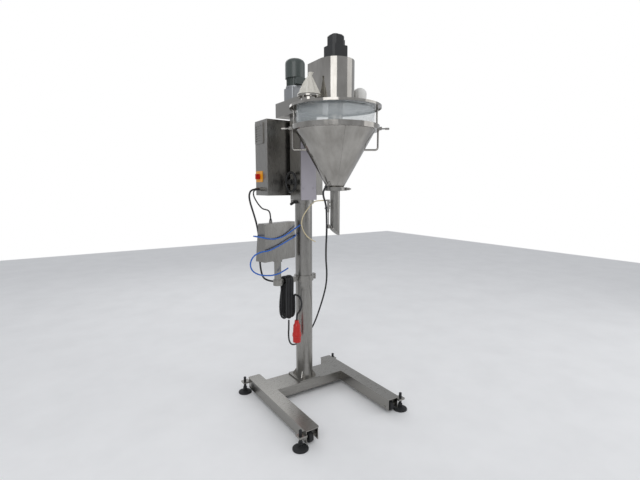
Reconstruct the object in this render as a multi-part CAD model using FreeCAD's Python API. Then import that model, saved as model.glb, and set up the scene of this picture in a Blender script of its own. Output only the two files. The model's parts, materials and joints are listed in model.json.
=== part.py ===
import FreeCAD, Part
import math
import os

# Auger powder filler on a height-adjustable column. Millimetres, +Z up, -Y is the front.
# Everything is laid out from the column axis, then moved so that the origin lies under the
# middle of the machine's box, on the floor.

Vector = FreeCAD.Vector
X_AXIS = Vector(1, 0, 0)
Y_AXIS = Vector(0, 1, 0)
Z_AXIS = Vector(0, 0, 1)

# Clearances
RUNNING_FIT = 0.06
SEAT_GAP = 0.3
OPEN_GAP = 1.0

# Base
LEG_OUTER_X = 310.0
LEG_COVER_WIDTH = 80.0
LEG_FRONT_Y = -525.0
LEG_REAR_Y = 171.0
LEG_TOP_Z = 89.0
LEG_BOTTOM_Z = 22.0
LEG_WALL = 3.0
COVER_THICKNESS = 4.0
COVER_OVERHANG = 5.0
COVER_CORNER = 12.0
BEAM_DEPTH = 154.0
BEAM_BOTTOM_Z = 32.0
WHEEL_RADIUS = 29.0
WHEEL_WIDTH = 26.0
WHEEL_LIFT = 4.0
WHEEL_END_GAP = 36.0
AXLE_RADIUS = 6.0
FOOT_RADIUS = 40.0
FOOT_PAD_HEIGHT = 20.0
FOOT_OFFSET = 23.0
FOOT_FRONT_INSET = 13.0
FOOT_REAR_INSET = 8.0
FOOT_STEM_RADIUS = 8.0
FOOT_STEM_TOP = 98.0
LUG_THICKNESS = 10.0
LUG_TOP_Z = 72.0

# Column and lift
COLUMN_RADIUS = 51.0
COLUMN_WALL = 3.0
COLUMN_TOP_Z = 1570.0
BASE_PLATE_SIZE = 150.0
BASE_PLATE_THICKNESS = 8.0
GUSSET_HEIGHT = 38.0
GUSSET_REACH = 22.0
GUSSET_THICKNESS = 6.0
LIFT_DOWN = 90.0
LIFT_UP = 100.0
GEAR_MODULE = 3.0
PINION_TEETH = 14
RACK_ADDENDUM = 2.4
GEAR_BACKLASH = 0.35
GEAR_FACE = 16.0
LIFT_SHAFT_RADIUS = 8.0
LIFT_SHAFT_Z = 1297.0

# Sleeve
SLEEVE_SIDE = 114.0
SLEEVE_WALL = 4.0
SLEEVE_BOTTOM_Z = 1193.0
BUSH_HEIGHT = 60.0
PLATE_WIDTH = 102.0
PLATE_THICKNESS = 4.0
PLATE_HEIGHT = 330.0
COLLAR_HEIGHT = 22.0
COLLAR_RADIUS = 62.0
HANDWHEEL_RADIUS = 64.0
HANDWHEEL_RIM = 8.0
HANDWHEEL_STAND_OFF = 28.0
LEVER_LENGTH = 52.0

# Cabinet
CABINET_HALF_WIDTH = 195.0
CABINET_FRONT_Y = 85.0
CABINET_DEPTH = 161.0
CABINET_BOTTOM_Z = 1218.0
CABINET_TOP_Z = 1660.0
CABINET_WALL = 2.0
DOOR_DEPTH = 15.0
HINGE_PIN_RADIUS = 3.0
HINGE_RADIUS = 5.0
HINGE_STAND_OFF = 6.5
HINGE_HALF = 22.0
HINGE_KNUCKLE = 16.0
HINGE_INSET = 80.0
SWITCH_Y = 190.0
SWITCH_Z = 1331.0
SWITCH_PLATE_WIDTH = 88.0
SWITCH_PLATE_HEIGHT = 66.0
SWITCH_PLATE_THICKNESS = 3.0
KNOB_RADIUS = 17.0
KNOB_DEPTH = 24.0
WINDOW_Y = 180.0
WINDOW_Z = 1585.0
WINDOW_WIDTH = 108.0
WINDOW_HEIGHT = 122.0
WINDOW_THICKNESS = 6.0
GLAND_Y = 188.0
GLAND_Z = 1255.0
GLAND_PITCH = 34.0
GLAND_RADIUS = 11.0
GLAND_LENGTH = 22.0

# Drive arm, mixer motor and chain
HOPPER_Y = -325.0
ARM_HALF_WIDTH = 97.0
ARM_REAR_Y = 163.0
ARM_FRONT_Y = -209.0
ARM_BOTTOM_Z = 1680.0
ARM_HEIGHT = 82.0
ARM_WALL = 3.0
MOTOR_Y = 90.0
MOTOR_RADIUS = 52.0
GEARBOX_RADIUS = 61.0
GEARBOX_HEIGHT = 96.0
MOTOR_HEIGHT = 47.0
COWL_RADIUS = 59.0
COWL_HEIGHT = 114.0
TERMINAL_WIDTH = 62.0
TERMINAL_DEPTH = 34.0
TERMINAL_HEIGHT = 38.0
CHAIN_PITCH = 12.7
DRIVE_TEETH = 16
DRIVEN_TEETH = 32
CHAIN_Z = 1712.0
SPROCKET_THICKNESS = 7.0
CHAIN_PLATE = 1.5
CHAIN_WIDTH = 10.0

# Drive cover and servo
COVER_TOP_Z = 1904.0
COVER_WALL = 2.0
FRAME_PLATE = 10.0
PILLAR_RADIUS = 9.0
SERVO_SIDE = 94.0
SERVO_HEIGHT = 72.0
SERVO_UPPER_SIDE = 73.0
SERVO_UPPER_HEIGHT = 54.0
SERVO_CHAMFER = 9.0

# Lid, clear ring and hopper
LID_RADIUS = 238.0
LID_THICKNESS = 6.0
LID_LIP = 6.0
LID_DISH = 5.0
RING_RADIUS = 206.0
RING_WALL = 5.0
RIM_RADIUS = 229.0
RIM_TOP_Z = 1582.0
RIM_HEIGHT = 25.0
HOPPER_WALL = 2.0
CONE_BOTTOM_RADIUS = 46.0
CONE_BOTTOM_Z = 1268.0
FERRULE_HEIGHT = 10.0
SIDE_ANGLE = -33.0
TIE_RADIUS = 5.0
TIE_CIRCLE = 216.0
HANDLE_RADIUS = 5.0
HANDLE_DROP = 96.0
LATCH_WIDTH = 22.0

# Outlet
SPOUT_RADIUS = 25.5
SPOUT_WALL = 1.5
SPOUT_SHORT_Z = 1054.0
SPOUT_LONG_Z = 1012.0
CLAMP_RADIUS = 56.0
FLAP_THICKNESS = 2.0
FLAP_LEVER = 12.0
CYLINDER_RADIUS = 8.0
CYLINDER_TOP_Z = 1203.0
CYLINDER_LENGTH = 50.0
ROD_RADIUS = 2.5

CABLE_PORT_X = 69.0
CABLE_PORT_Z = 1273.0

# Auger and agitator
SHAFT_RADIUS = 10.0
AUGER_CORE = 8.0
AUGER_CLEARANCE = 1.0
AUGER_PITCH = 34.0
AUGER_BLADE = 3.0
AUGER_TURNS = 6
AUGER_END_Z = 1066.0
HOUSING_RADIUS = 30.0
AGITATOR_RADIUS = 38.0
AGITATOR_BOTTOM_Z = 1500.0
SCRAPER_GAP = 6.0
SCRAPER_WIDTH = 16.0
SCRAPER_THICKNESS = 5.0

# Ports on the lid
PORT_X = 160.0
INLET_RADIUS = 40.0
INLET_HEIGHT = 36.0
INLET_FLANGE_RADIUS = 58.0
INLET_BOLTS = 8
VENT_RADIUS = 32.0
VENT_HEIGHT = 92.0
BAG_THICKNESS = 3.0
BAG_PEAK = 150.0

# Operator box
PANEL_X = -200.0
PANEL_Y = -40.0
PANEL_TURN = 17.0
PANEL_WIDTH = 240.0
PANEL_HEIGHT = 213.0
PANEL_TOP_DEPTH = 52.0
PANEL_BOTTOM_DEPTH = 76.0
PANEL_BOTTOM_Z = 856.0
PANEL_GLAND_X = 50.0
PANEL_GLAND_HEIGHT = 14.0
POST_RADIUS = 20.0
BRACKET_Z = 722.0
BRACKET_HEIGHT = 34.0
BRACKET_WALL = 8.0
ARM_BAR_HEIGHT = 30.0
ARM_BAR_WIDTH = 24.0

# Cords
SUPPLY_CORD = 11.0
PANEL_CORD = 8.0
AIR_HOSE = 8.0
SPOUT_CORD = 10.0
THIN_HOSE = 6.0
HANK_OPENING = 36.0
HANK_THICKNESS = 26.0
HANK_WIDTH = 66.0
HANK_X = -170.0
HANK_BOTTOM_Z = 478.0
PLUG_X = -99.0
PLUG_Y = -80.0
PLUG_TOP_Z = 488.0

# Derived places
CABINET_REAR_Y = CABINET_FRONT_Y + CABINET_DEPTH
FOOT_FRONT_Y = LEG_FRONT_Y + FOOT_FRONT_INSET
FOOT_REAR_Y = LEG_REAR_Y - FOOT_REAR_INSET
FOOT_X = LEG_OUTER_X + FOOT_OFFSET
COLUMN_Y = -(min(FOOT_FRONT_Y - FOOT_RADIUS, HOPPER_Y - LID_RADIUS) + CABINET_REAR_Y) / 2
COLUMN_FOOT_Z = LEG_TOP_Z + BASE_PLATE_THICKNESS
ARM_TOP_Z = ARM_BOTTOM_Z + ARM_HEIGHT
LID_TOP_Z = ARM_BOTTOM_Z
LID_UNDER_Z = LID_TOP_Z - LID_THICKNESS
SLEEVE_TOP_Z = ARM_BOTTOM_Z
PINION_RADIUS = GEAR_MODULE * PINION_TEETH / 2
SPOUT_TOP_Z = CONE_BOTTOM_Z - 2 * FERRULE_HEIGHT
AUGER_RADIUS = SPOUT_RADIUS - SPOUT_WALL - AUGER_CLEARANCE


def box(x0, x1, y0, y1, z0, z1):
    return Part.makeBox(x1 - x0, y1 - y0, z1 - z0, Vector(x0, y0, z0))


def rod(radius, start, end):
    along = end - start
    return Part.makeCylinder(radius, along.Length, start, along)


def upright(radius, x, y, z0, z1):
    return Part.makeCylinder(radius, z1 - z0, Vector(x, y, z0))


def pipe(outer, inner, x, y, z0, z1):
    return upright(outer, x, y, z0, z1).cut(upright(inner, x, y, z0 - 1, z1 + 1))


def slab(points, base, along):
    """A flat outline pushed along a vector."""
    corners = [base + p for p in points]
    face = Part.Face(Part.makePolygon(corners + [corners[0]]))
    return face.extrude(along)


def turned(points, x, y):
    """A closed outline of (radius, height) points turned about a vertical axis."""
    corners = [Vector(x + r, y, z) for r, z in points]
    face = Part.Face(Part.makePolygon(corners + [corners[0]]))
    return face.revolve(Vector(x, y, 0), Z_AXIS, 360)


def rounded(solid, radius, direction):
    edges = []
    for edge in solid.Edges:
        if edge.Curve.TypeId == "Part::GeomLine" and abs(edge.tangentAt(0).dot(direction)) > 0.99:
            edges.append(edge)
    return solid.makeFillet(radius, edges)


def fused(shapes):
    whole = shapes[0].fuse(shapes[1:])
    return whole.removeSplitter()


def spun(shape, angle, x, y):
    copy = shape.copy()
    copy.rotate(Vector(x, y, 0), Z_AXIS, angle)
    return copy


def save(name, shapes):
    """Write one node, moved from the column axis to the machine's own origin."""
    if not isinstance(shapes, list):
        shapes = [shapes]
    whole = shapes[0].copy() if len(shapes) == 1 else Part.Compound([s.copy() for s in shapes])
    whole.translate(Vector(0, COLUMN_Y, 0))
    whole.exportStep(os.path.join("parts", name + ".step"))
    print(name, len(whole.Solids), round(whole.Volume / 1000, 1), "cm3", whole.isValid())


# ---------------------------------------------------------------- base

def leg(side):
    """Inverted channel with a flat cap plate, its castor axles and the lugs of its feet."""
    inner = side * (LEG_OUTER_X - LEG_COVER_WIDTH)
    outer = side * LEG_OUTER_X
    x0, x1 = min(inner, outer), max(inner, outer)
    cover_z = LEG_TOP_Z - COVER_THICKNESS
    cover = box(x0, x1, LEG_FRONT_Y, LEG_REAR_Y, cover_z, LEG_TOP_Z)
    cover = rounded(cover, COVER_CORNER, Z_AXIS)
    a, b = x0 + COVER_OVERHANG, x1 - COVER_OVERHANG
    y0, y1 = LEG_FRONT_Y + COVER_OVERHANG, LEG_REAR_Y - COVER_OVERHANG
    channel = box(a, b, y0, y1, LEG_BOTTOM_Z, cover_z)
    inside = box(a + LEG_WALL, b - LEG_WALL, y0 - 1, y1 + 1, LEG_BOTTOM_Z - 1, cover_z - LEG_WALL)
    channel = channel.cut(inside)
    lugs = []
    for y in (FOOT_FRONT_Y, FOOT_REAR_Y):
        reach = FOOT_X + 2 * FOOT_STEM_RADIUS
        ends = sorted((side * (LEG_OUTER_X - COVER_OVERHANG), side * reach))
        lug = box(ends[0], ends[1], y - 20, y + 20, LUG_TOP_Z - LUG_THICKNESS, LUG_TOP_Z)
        hole = upright(FOOT_STEM_RADIUS + RUNNING_FIT, side * FOOT_X, y, 0, FOOT_STEM_TOP)
        lugs.append(lug.cut(hole))
    channel = fused([channel] + lugs)
    axles = []
    for y in wheel_places():
        z = WHEEL_RADIUS + WHEEL_LIFT
        axles.append(rod(AXLE_RADIUS, Vector(a - 3, y, z), Vector(b + 3, y, z)))
        channel = channel.cut(rod(AXLE_RADIUS, Vector(a - 3, y, z), Vector(b + 3, y, z)))
    return [channel, cover] + axles


def wheel_places():
    return (LEG_FRONT_Y + WHEEL_END_GAP, LEG_REAR_Y - WHEEL_END_GAP)


def wheel(side, y):
    """Castor wheel with a raised hub on each face and a rounded tread."""
    half = WHEEL_WIDTH / 2
    bore = AXLE_RADIUS + RUNNING_FIT
    hub = bore + 7
    tread = WHEEL_RADIUS - 4
    profile = [(bore, -half), (hub, -half), (hub, -half + 3), (tread - 4, -half + 3), (tread, -half)]
    profile += [(WHEEL_RADIUS - 1, -half + 3), (WHEEL_RADIUS, -half + 8)]
    mirrored = [(r, -h) for r, h in reversed(profile)]
    shape = turned(profile + mirrored, 0, 0)
    shape.rotate(Vector(0, 0, 0), Y_AXIS, 90)
    middle = side * (LEG_OUTER_X - LEG_COVER_WIDTH / 2)
    shape.translate(Vector(middle, y, WHEEL_RADIUS + WHEEL_LIFT))
    return shape


def foot(x, y):
    """Levelling foot: bell pad, threaded stem, lock nut below the lug and hand nut above."""
    r = FOOT_RADIUS
    h = FOOT_PAD_HEIGHT
    neck = FOOT_STEM_RADIUS + 8
    pad = turned([(0, 0), (r, 0), (r, h * 0.3), (r * 0.82, h * 0.5), (neck, h * 0.7), (neck, h),
                  (0, h)], x, y)
    stem = upright(FOOT_STEM_RADIUS, x, y, h, FOOT_STEM_TOP)
    nut_points = []
    for i in range(6):
        angle = math.radians(60 * i)
        nut_points.append(Vector(13 * math.cos(angle), 13 * math.sin(angle), 0))
    stem = stem.fuse(slab(nut_points, Vector(x, y, h + 6), Vector(0, 0, 9)))
    return [pad, stem]


def cross_beam():
    half = LEG_OUTER_X - LEG_COVER_WIDTH
    d = BEAM_DEPTH / 2
    t = LEG_WALL
    shell = box(-half, half, -d, d, BEAM_BOTTOM_Z, LEG_TOP_Z)
    inside = box(-half - 1, half + 1, -d + t, d - t, BEAM_BOTTOM_Z - 1, LEG_TOP_Z - t)
    shell = shell.cut(inside)
    ends = []
    for side in (-1, 1):
        gap = sorted((side * half, side * (half + COVER_OVERHANG)))
        ends.append(box(gap[0], gap[1], -d, d, BEAM_BOTTOM_Z, LEG_TOP_Z - COVER_THICKNESS))
    return fused([shell] + ends)


def column_base():
    s = BASE_PLATE_SIZE / 2
    top = COLUMN_FOOT_Z
    plate = rounded(box(-s, s, -s, s, LEG_TOP_Z, top), 8, Z_AXIS)
    parts = [plate]
    for i in range(4):
        start = COLUMN_RADIUS + SEAT_GAP
        reach = start + GUSSET_REACH
        outline = [Vector(start, 0, 0), Vector(reach, 0, 0), Vector(reach, 0, 5),
                   Vector(start, 0, GUSSET_HEIGHT)]
        web = slab(outline, Vector(0, -GUSSET_THICKNESS / 2, top), Vector(0, GUSSET_THICKNESS, 0))
        parts.append(spun(web, 45 + 90 * i, 0, 0))
    return fused(parts)


# ---------------------------------------------------------------- lift

def column():
    """Round tube with a slot in its left side for the lift shaft."""
    inner = COLUMN_RADIUS - COLUMN_WALL
    shape = pipe(COLUMN_RADIUS, inner, 0, 0, COLUMN_FOOT_Z, COLUMN_TOP_Z)
    half = LIFT_SHAFT_RADIUS + OPEN_GAP
    low = LIFT_SHAFT_Z - LIFT_DOWN - half
    high = LIFT_SHAFT_Z + LIFT_UP + half
    slot = box(-COLUMN_RADIUS - 1, -20, -half, half, low, high)
    return shape.cut(slot)


def rack():
    """Straight rack on the column's inner rear wall; a tooth space faces the pinion at rest."""
    pitch = math.pi * GEAR_MODULE
    slope = math.tan(math.radians(20))
    root = PINION_RADIUS + RACK_ADDENDUM + 1.2
    tip = PINION_RADIUS - RACK_ADDENDUM
    below = math.ceil((LIFT_DOWN + PINION_RADIUS) / pitch)
    above = math.ceil((LIFT_UP + PINION_RADIUS) / pitch)
    back = math.sqrt((COLUMN_RADIUS - COLUMN_WALL) ** 2 - (GEAR_FACE / 2) ** 2)
    thick = pitch / 4
    points = [Vector(0, back, -below * pitch), Vector(0, root, -below * pitch)]
    for i in range(-below, above):
        middle = (i + 0.5) * pitch
        wide = thick + (root - PINION_RADIUS) * slope
        thin = thick - (PINION_RADIUS - tip) * slope
        points.append(Vector(0, root, middle - wide))
        points.append(Vector(0, tip, middle - thin))
        points.append(Vector(0, tip, middle + thin))
        points.append(Vector(0, root, middle + wide))
    points += [Vector(0, root, above * pitch), Vector(0, back, above * pitch)]
    base = Vector(-GEAR_FACE / 2, 0, LIFT_SHAFT_Z)
    return slab(points, base, Vector(GEAR_FACE, 0, 0))


def pinion_outline():
    """Involute teeth, one of them pointing at the rack."""
    base_radius = PINION_RADIUS * math.cos(math.radians(20))
    tip = PINION_RADIUS + GEAR_MODULE
    root = PINION_RADIUS - RACK_ADDENDUM - 1.0

    def involute(radius):
        if radius <= base_radius:
            return 0.0
        alpha = math.acos(base_radius / radius)
        return math.tan(alpha) - alpha

    half_pitch = math.pi / (2 * PINION_TEETH) - GEAR_BACKLASH / (2 * PINION_RADIUS)
    points = []
    for tooth in range(PINION_TEETH):
        centre = 2 * math.pi * tooth / PINION_TEETH
        flank = []
        for step in range(5):
            radius = root if step == 0 else base_radius + (tip - base_radius) * (step - 1) / 3
            half = half_pitch + involute(PINION_RADIUS) - involute(radius)
            flank.append((radius, half))
        for radius, half in flank:
            points.append((radius, centre - half))
        for radius, half in reversed(flank):
            points.append((radius, centre + half))
    return [Vector(0, r * math.cos(a), r * math.sin(a)) for r, a in points]


def lift_pinion():
    """Cross shaft from the handwheel through sleeve and slot, with the pinion on its end."""
    half = GEAR_FACE / 2
    centre = Vector(0, 0, LIFT_SHAFT_Z)
    gear = slab(pinion_outline(), centre + Vector(-half, 0, 0), Vector(GEAR_FACE, 0, 0))
    outer = SLEEVE_SIDE / 2 + HANDWHEEL_STAND_OFF
    shaft = rod(LIFT_SHAFT_RADIUS, centre + Vector(-outer, 0, 0), centre + Vector(half + 6, 0, 0))
    return fused([gear, shaft])


def handwheel():
    """Dished wheel with two spokes and a hub bored for the lift shaft."""
    x = -(SLEEVE_SIDE / 2 + HANDWHEEL_STAND_OFF)
    z = LIFT_SHAFT_Z
    rim = []
    for i in range(8):
        angle = math.radians(22.5 + 45 * i)
        rim.append((HANDWHEEL_RADIUS - HANDWHEEL_RIM * (1 - math.cos(angle)), HANDWHEEL_RIM * math.sin(angle)))
    ring = turned(rim, 0, 0)
    ring.rotate(Vector(0, 0, 0), Y_AXIS, 90)
    ring.translate(Vector(x, 0, z))
    hub = rod(16, Vector(x - 10, 0, z), Vector(x + 16, 0, z))
    reach = HANDWHEEL_RADIUS - HANDWHEEL_RIM
    outline = [Vector(0, -reach, -7), Vector(0, 0, -13), Vector(0, reach, -7),
               Vector(0, reach, 7), Vector(0, 0, 13), Vector(0, -reach, 7)]
    spokes = slab(outline, Vector(x - 4, 0, z), Vector(8, 0, 0))
    bore = rod(LIFT_SHAFT_RADIUS, Vector(x, 0, z), Vector(x + 40, 0, z))
    return fused([ring, hub, spokes]).cut(bore)


def sleeve():
    """Square carriage tube with a boss for the lift shaft and brackets for the cabinet."""
    half = SLEEVE_SIDE / 2
    inner = half - SLEEVE_WALL
    tube = box(-half, half, -half, half, SLEEVE_BOTTOM_Z, SLEEVE_TOP_Z)
    tube = tube.cut(box(-inner, inner, -inner, inner, SLEEVE_BOTTOM_Z - 1, SLEEVE_TOP_Z + 1))
    boss = rod(16, Vector(-half - 8, 0, LIFT_SHAFT_Z), Vector(-inner, 0, LIFT_SHAFT_Z))
    brackets = []
    for z in (CABINET_BOTTOM_Z + 50, CABINET_TOP_Z - 80):
        brackets.append(box(-40, 40, half, CABINET_FRONT_Y, z, z + 30))
    whole = fused([tube, boss] + brackets)
    r = LIFT_SHAFT_RADIUS + RUNNING_FIT
    bore = rod(r, Vector(-half - 10, 0, LIFT_SHAFT_Z), Vector(-inner + 1, 0, LIFT_SHAFT_Z))
    return whole.cut(bore)


def sleeve_bushes():
    """Two plain guide blocks that fill the sleeve's corners and run on the column."""
    inner = SLEEVE_SIDE / 2 - SLEEVE_WALL
    blocks = []
    top = COLUMN_TOP_Z - LIFT_UP
    for z0 in (SLEEVE_BOTTOM_Z, top - BUSH_HEIGHT):
        block = box(-inner, inner, -inner, inner, z0, z0 + BUSH_HEIGHT)
        blocks.append(block.cut(upright(COLUMN_RADIUS + RUNNING_FIT, 0, 0, z0 - 1, z0 + 100)))
    return blocks


def sleeve_plate():
    """Front plate with its two cap screws."""
    y = -SLEEVE_SIDE / 2
    w = PLATE_WIDTH / 2
    z0 = SLEEVE_BOTTOM_Z
    plate = box(-w, w, y - PLATE_THICKNESS, y, z0, z0 + PLATE_HEIGHT)
    heads = []
    for x in (-0.68 * w, 0.68 * w):
        for z in (z0 + 68, z0 + PLATE_HEIGHT - 40):
            front = y - PLATE_THICKNESS
            heads.append(rod(5, Vector(x, front + 1, z), Vector(x, front - 4, z)))
    return fused([plate] + heads)


def clamp_collar():
    """Split collar below the sleeve, closed by the lever's screw."""
    z0 = SLEEVE_BOTTOM_Z - COLLAR_HEIGHT
    ring = pipe(COLLAR_RADIUS, COLUMN_RADIUS + RUNNING_FIT, 0, 0, z0, SLEEVE_BOTTOM_Z)
    x = -COLLAR_RADIUS
    ears = box(x - 18, x + 8, -14, 14, z0, SLEEVE_BOTTOM_Z)
    whole = fused([ring, ears])
    whole = whole.cut(upright(COLUMN_RADIUS + RUNNING_FIT, 0, 0, z0 - 1, SLEEVE_BOTTOM_Z + 1))
    slit = box(x - 19, x + 14, -1.5, 1.5, z0 - 1, SLEEVE_BOTTOM_Z + 1)
    middle = (z0 + SLEEVE_BOTTOM_Z) / 2
    hole = rod(5 + RUNNING_FIT, Vector(x - 9, -20, middle), Vector(x - 9, 20, middle))
    return whole.cut(slit).cut(hole)


def clamp_lever():
    x = -COLLAR_RADIUS - 9
    z = SLEEVE_BOTTOM_Z - COLLAR_HEIGHT / 2
    screw = rod(5, Vector(x, -26, z), Vector(x, 14, z))
    hub = rod(9, Vector(x, -30, z), Vector(x, -14 - SEAT_GAP, z))
    arm = Part.makeCone(5, 8, LEVER_LENGTH, Vector(x, -24, z), Vector(-0.8, -0.5, -0.2))
    return fused([screw, hub, arm])


# ---------------------------------------------------------------- cabinet

def cabinet_body():
    """Folded sheet case, open at the back, with two cable glands in its left side."""
    w = CABINET_HALF_WIDTH
    t = CABINET_WALL
    y0 = CABINET_FRONT_Y
    y1 = CABINET_REAR_Y - DOOR_DEPTH - OPEN_GAP
    case = box(-w, w, y0, y1, CABINET_BOTTOM_Z, CABINET_TOP_Z)
    inside = box(-w + t, w - t, y0 + t, y1 + 1, CABINET_BOTTOM_Z + t, CABINET_TOP_Z - t)
    case = rounded(case, 3, Z_AXIS).cut(inside)
    glands = []
    for i in range(2):
        y = GLAND_Y - i * GLAND_PITCH
        glands.append(rod(GLAND_RADIUS, Vector(-w + t, y, GLAND_Z), Vector(-w - GLAND_LENGTH, y, GLAND_Z)))
    return fused([case] + glands + door_hinge_pins())


def door_hinge_axis():
    """Place of the door's hinge axis, outside the right side on the door's parting line."""
    return CABINET_HALF_WIDTH + HINGE_STAND_OFF, CABINET_REAR_Y - DOOR_DEPTH - OPEN_GAP / 2


def door_hinge_heights():
    return CABINET_BOTTOM_Z + HINGE_INSET, CABINET_TOP_Z - HINGE_INSET


def door_hinge_pins():
    """The case's half of each hinge: a pin between two barrels, each on a leaf."""
    x, y = door_hinge_axis()
    inner = CABINET_HALF_WIDTH - CABINET_WALL / 2
    half = HINGE_KNUCKLE / 2
    halves = []
    for z in door_hinge_heights():
        halves.append(upright(HINGE_PIN_RADIUS, x, y, z - HINGE_HALF, z + HINGE_HALF))
        for z0, z1 in ((z - HINGE_HALF, z - half), (z + half, z + HINGE_HALF)):
            halves.append(upright(HINGE_RADIUS, x, y, z0, z1))
            halves.append(box(inner, x, y - 2.4 * HINGE_RADIUS, y, z0, z1))
    return halves


def door_knuckles():
    """The door's half of each hinge: a bored barrel on a leaf, turning on the case's pin."""
    x, y = door_hinge_axis()
    inner = CABINET_HALF_WIDTH - CABINET_WALL / 2
    half = HINGE_KNUCKLE / 2 - SEAT_GAP
    bore = HINGE_PIN_RADIUS + RUNNING_FIT
    halves = []
    for z in door_hinge_heights():
        leaf = box(inner, x, y + OPEN_GAP / 2, y + 2.4 * HINGE_RADIUS, z - half, z + half)
        barrel = upright(HINGE_RADIUS, x, y, z - half, z + half)
        halves.append(leaf.fuse(barrel).cut(upright(bore, x, y, z - half - 1, z + half + 1)))
    return halves


def cabinet_door():
    """Door pan with a turned-in rim and its hinge knuckles on the right."""
    w = CABINET_HALF_WIDTH
    t = CABINET_WALL
    y0 = CABINET_REAR_Y - DOOR_DEPTH
    z0, z1 = CABINET_BOTTOM_Z, CABINET_TOP_Z
    pan = rounded(box(-w, w, y0, CABINET_REAR_Y, z0, z1), 3, Z_AXIS)
    pan = pan.cut(box(-w + t, w - t, y0 - 1, CABINET_REAR_Y - t, z0 + t, z1 - t))
    locks = []
    for z in (z0 + 90, z1 - 90):
        locks.append(rod(9, Vector(-w + 25, CABINET_REAR_Y - t, z), Vector(-w + 25, y0 + 4, z)))
    return fused([pan] + locks + door_knuckles())


def switch_plate():
    x = -CABINET_HALF_WIDTH
    w = SWITCH_PLATE_WIDTH / 2
    h = SWITCH_PLATE_HEIGHT / 2
    plate = box(x - SWITCH_PLATE_THICKNESS, x, SWITCH_Y - w, SWITCH_Y + w, SWITCH_Z - h, SWITCH_Z + h)
    plate = rounded(plate, 5, X_AXIS)
    spigot = rod(6, Vector(x, SWITCH_Y, SWITCH_Z), Vector(x - 12, SWITCH_Y, SWITCH_Z))
    return fused([plate, spigot])


def switch_knob():
    """Rotary handle: a disc with a raised grip bar, bored for the switch spindle."""
    face = -CABINET_HALF_WIDTH - SWITCH_PLATE_THICKNESS - SEAT_GAP
    disc = rod(KNOB_RADIUS, Vector(face, SWITCH_Y, SWITCH_Z), Vector(face - 10, SWITCH_Y, SWITCH_Z))
    grip = box(face - KNOB_DEPTH, face - 10, SWITCH_Y - 5, SWITCH_Y + 5, SWITCH_Z - KNOB_RADIUS + 1,
               SWITCH_Z + KNOB_RADIUS - 1)
    bore = rod(6 + RUNNING_FIT, Vector(face + 1, SWITCH_Y, SWITCH_Z), Vector(face - 9.5, SWITCH_Y, SWITCH_Z))
    return fused([disc, grip]).cut(bore)


def cabinet_grille():
    """Framed filter grille low relief on the cabinet's left side."""
    x = -CABINET_HALF_WIDTH
    w = WINDOW_WIDTH / 2
    h = WINDOW_HEIGHT / 2
    t = WINDOW_THICKNESS
    frame = box(x - t, x, WINDOW_Y - w, WINDOW_Y + w, WINDOW_Z - h, WINDOW_Z + h)
    frame = rounded(frame, 6, X_AXIS)
    count = 7
    pitch = (WINDOW_HEIGHT - 24) / count
    for i in range(count):
        z = WINDOW_Z - h + 12 + i * pitch
        frame = frame.cut(box(x - t - 1, x - 2, WINDOW_Y - w + 10, WINDOW_Y + w - 10, z, z + pitch * 0.6))
    return frame


# ---------------------------------------------------------------- drive arm

def arm_case():
    """Chain case between mixer motor and hopper, with a removable top plate seam."""
    w = ARM_HALF_WIDTH
    t = ARM_WALL
    z0, z1 = ARM_BOTTOM_Z, ARM_TOP_Z
    case = rounded(box(-w, w, ARM_FRONT_Y, ARM_REAR_Y, z0, z1), 5, Z_AXIS)
    case = case.cut(box(-w + t, w - t, ARM_FRONT_Y - 1, ARM_REAR_Y - t, z0 + t, z1 - t))
    return case.cut(upright(16, 0, MOTOR_Y, z1 - 2 * t, z1 + 1))


def mixer_gearbox():
    """Helical gearbox block with its output shaft and foot flange."""
    z0 = ARM_TOP_Z
    z1 = z0 + GEARBOX_HEIGHT
    r = GEARBOX_RADIUS
    s = r * 0.86
    flange = upright(r + 4, 0, MOTOR_Y, z0, z0 + 12)
    body = rounded(box(-s, s, MOTOR_Y - s, MOTOR_Y + s, z0 + 12, z1 - 10), 14, Z_AXIS)
    top = upright(MOTOR_RADIUS + 4, 0, MOTOR_Y, z1 - 10, z1)
    bolts = []
    for i in range(4):
        angle = math.radians(45 + 90 * i)
        x = (r - 4) * math.cos(angle)
        y = MOTOR_Y + (r - 4) * math.sin(angle)
        bolts.append(upright(5, x, y, z0 + 11, z0 + 17))
    return fused([flange, body, top] + bolts)


def mixer_motor():
    """Finned stator with a terminal box on its front."""
    z0 = ARM_TOP_Z + GEARBOX_HEIGHT
    z1 = z0 + MOTOR_HEIGHT
    core = upright(MOTOR_RADIUS - 5, 0, MOTOR_Y, z0, z1)
    fins = []
    count = 20
    for i in range(count):
        angle = 360 / count * i
        if 240 < angle < 300:
            continue
        fin = box(MOTOR_RADIUS - 8, MOTOR_RADIUS, -1.6, 1.6, z0, z1)
        fin.translate(Vector(0, MOTOR_Y, 0))
        fins.append(spun(fin, angle, 0, MOTOR_Y))
    w = TERMINAL_WIDTH / 2
    y = MOTOR_Y - MOTOR_RADIUS
    middle = (z0 + z1) / 2
    h = TERMINAL_HEIGHT / 2
    terminal = box(-w, w, y - TERMINAL_DEPTH + 14, y + 14, middle - h, middle + h)
    return fused([core, rounded(terminal, 5, Y_AXIS)] + fins)


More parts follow.
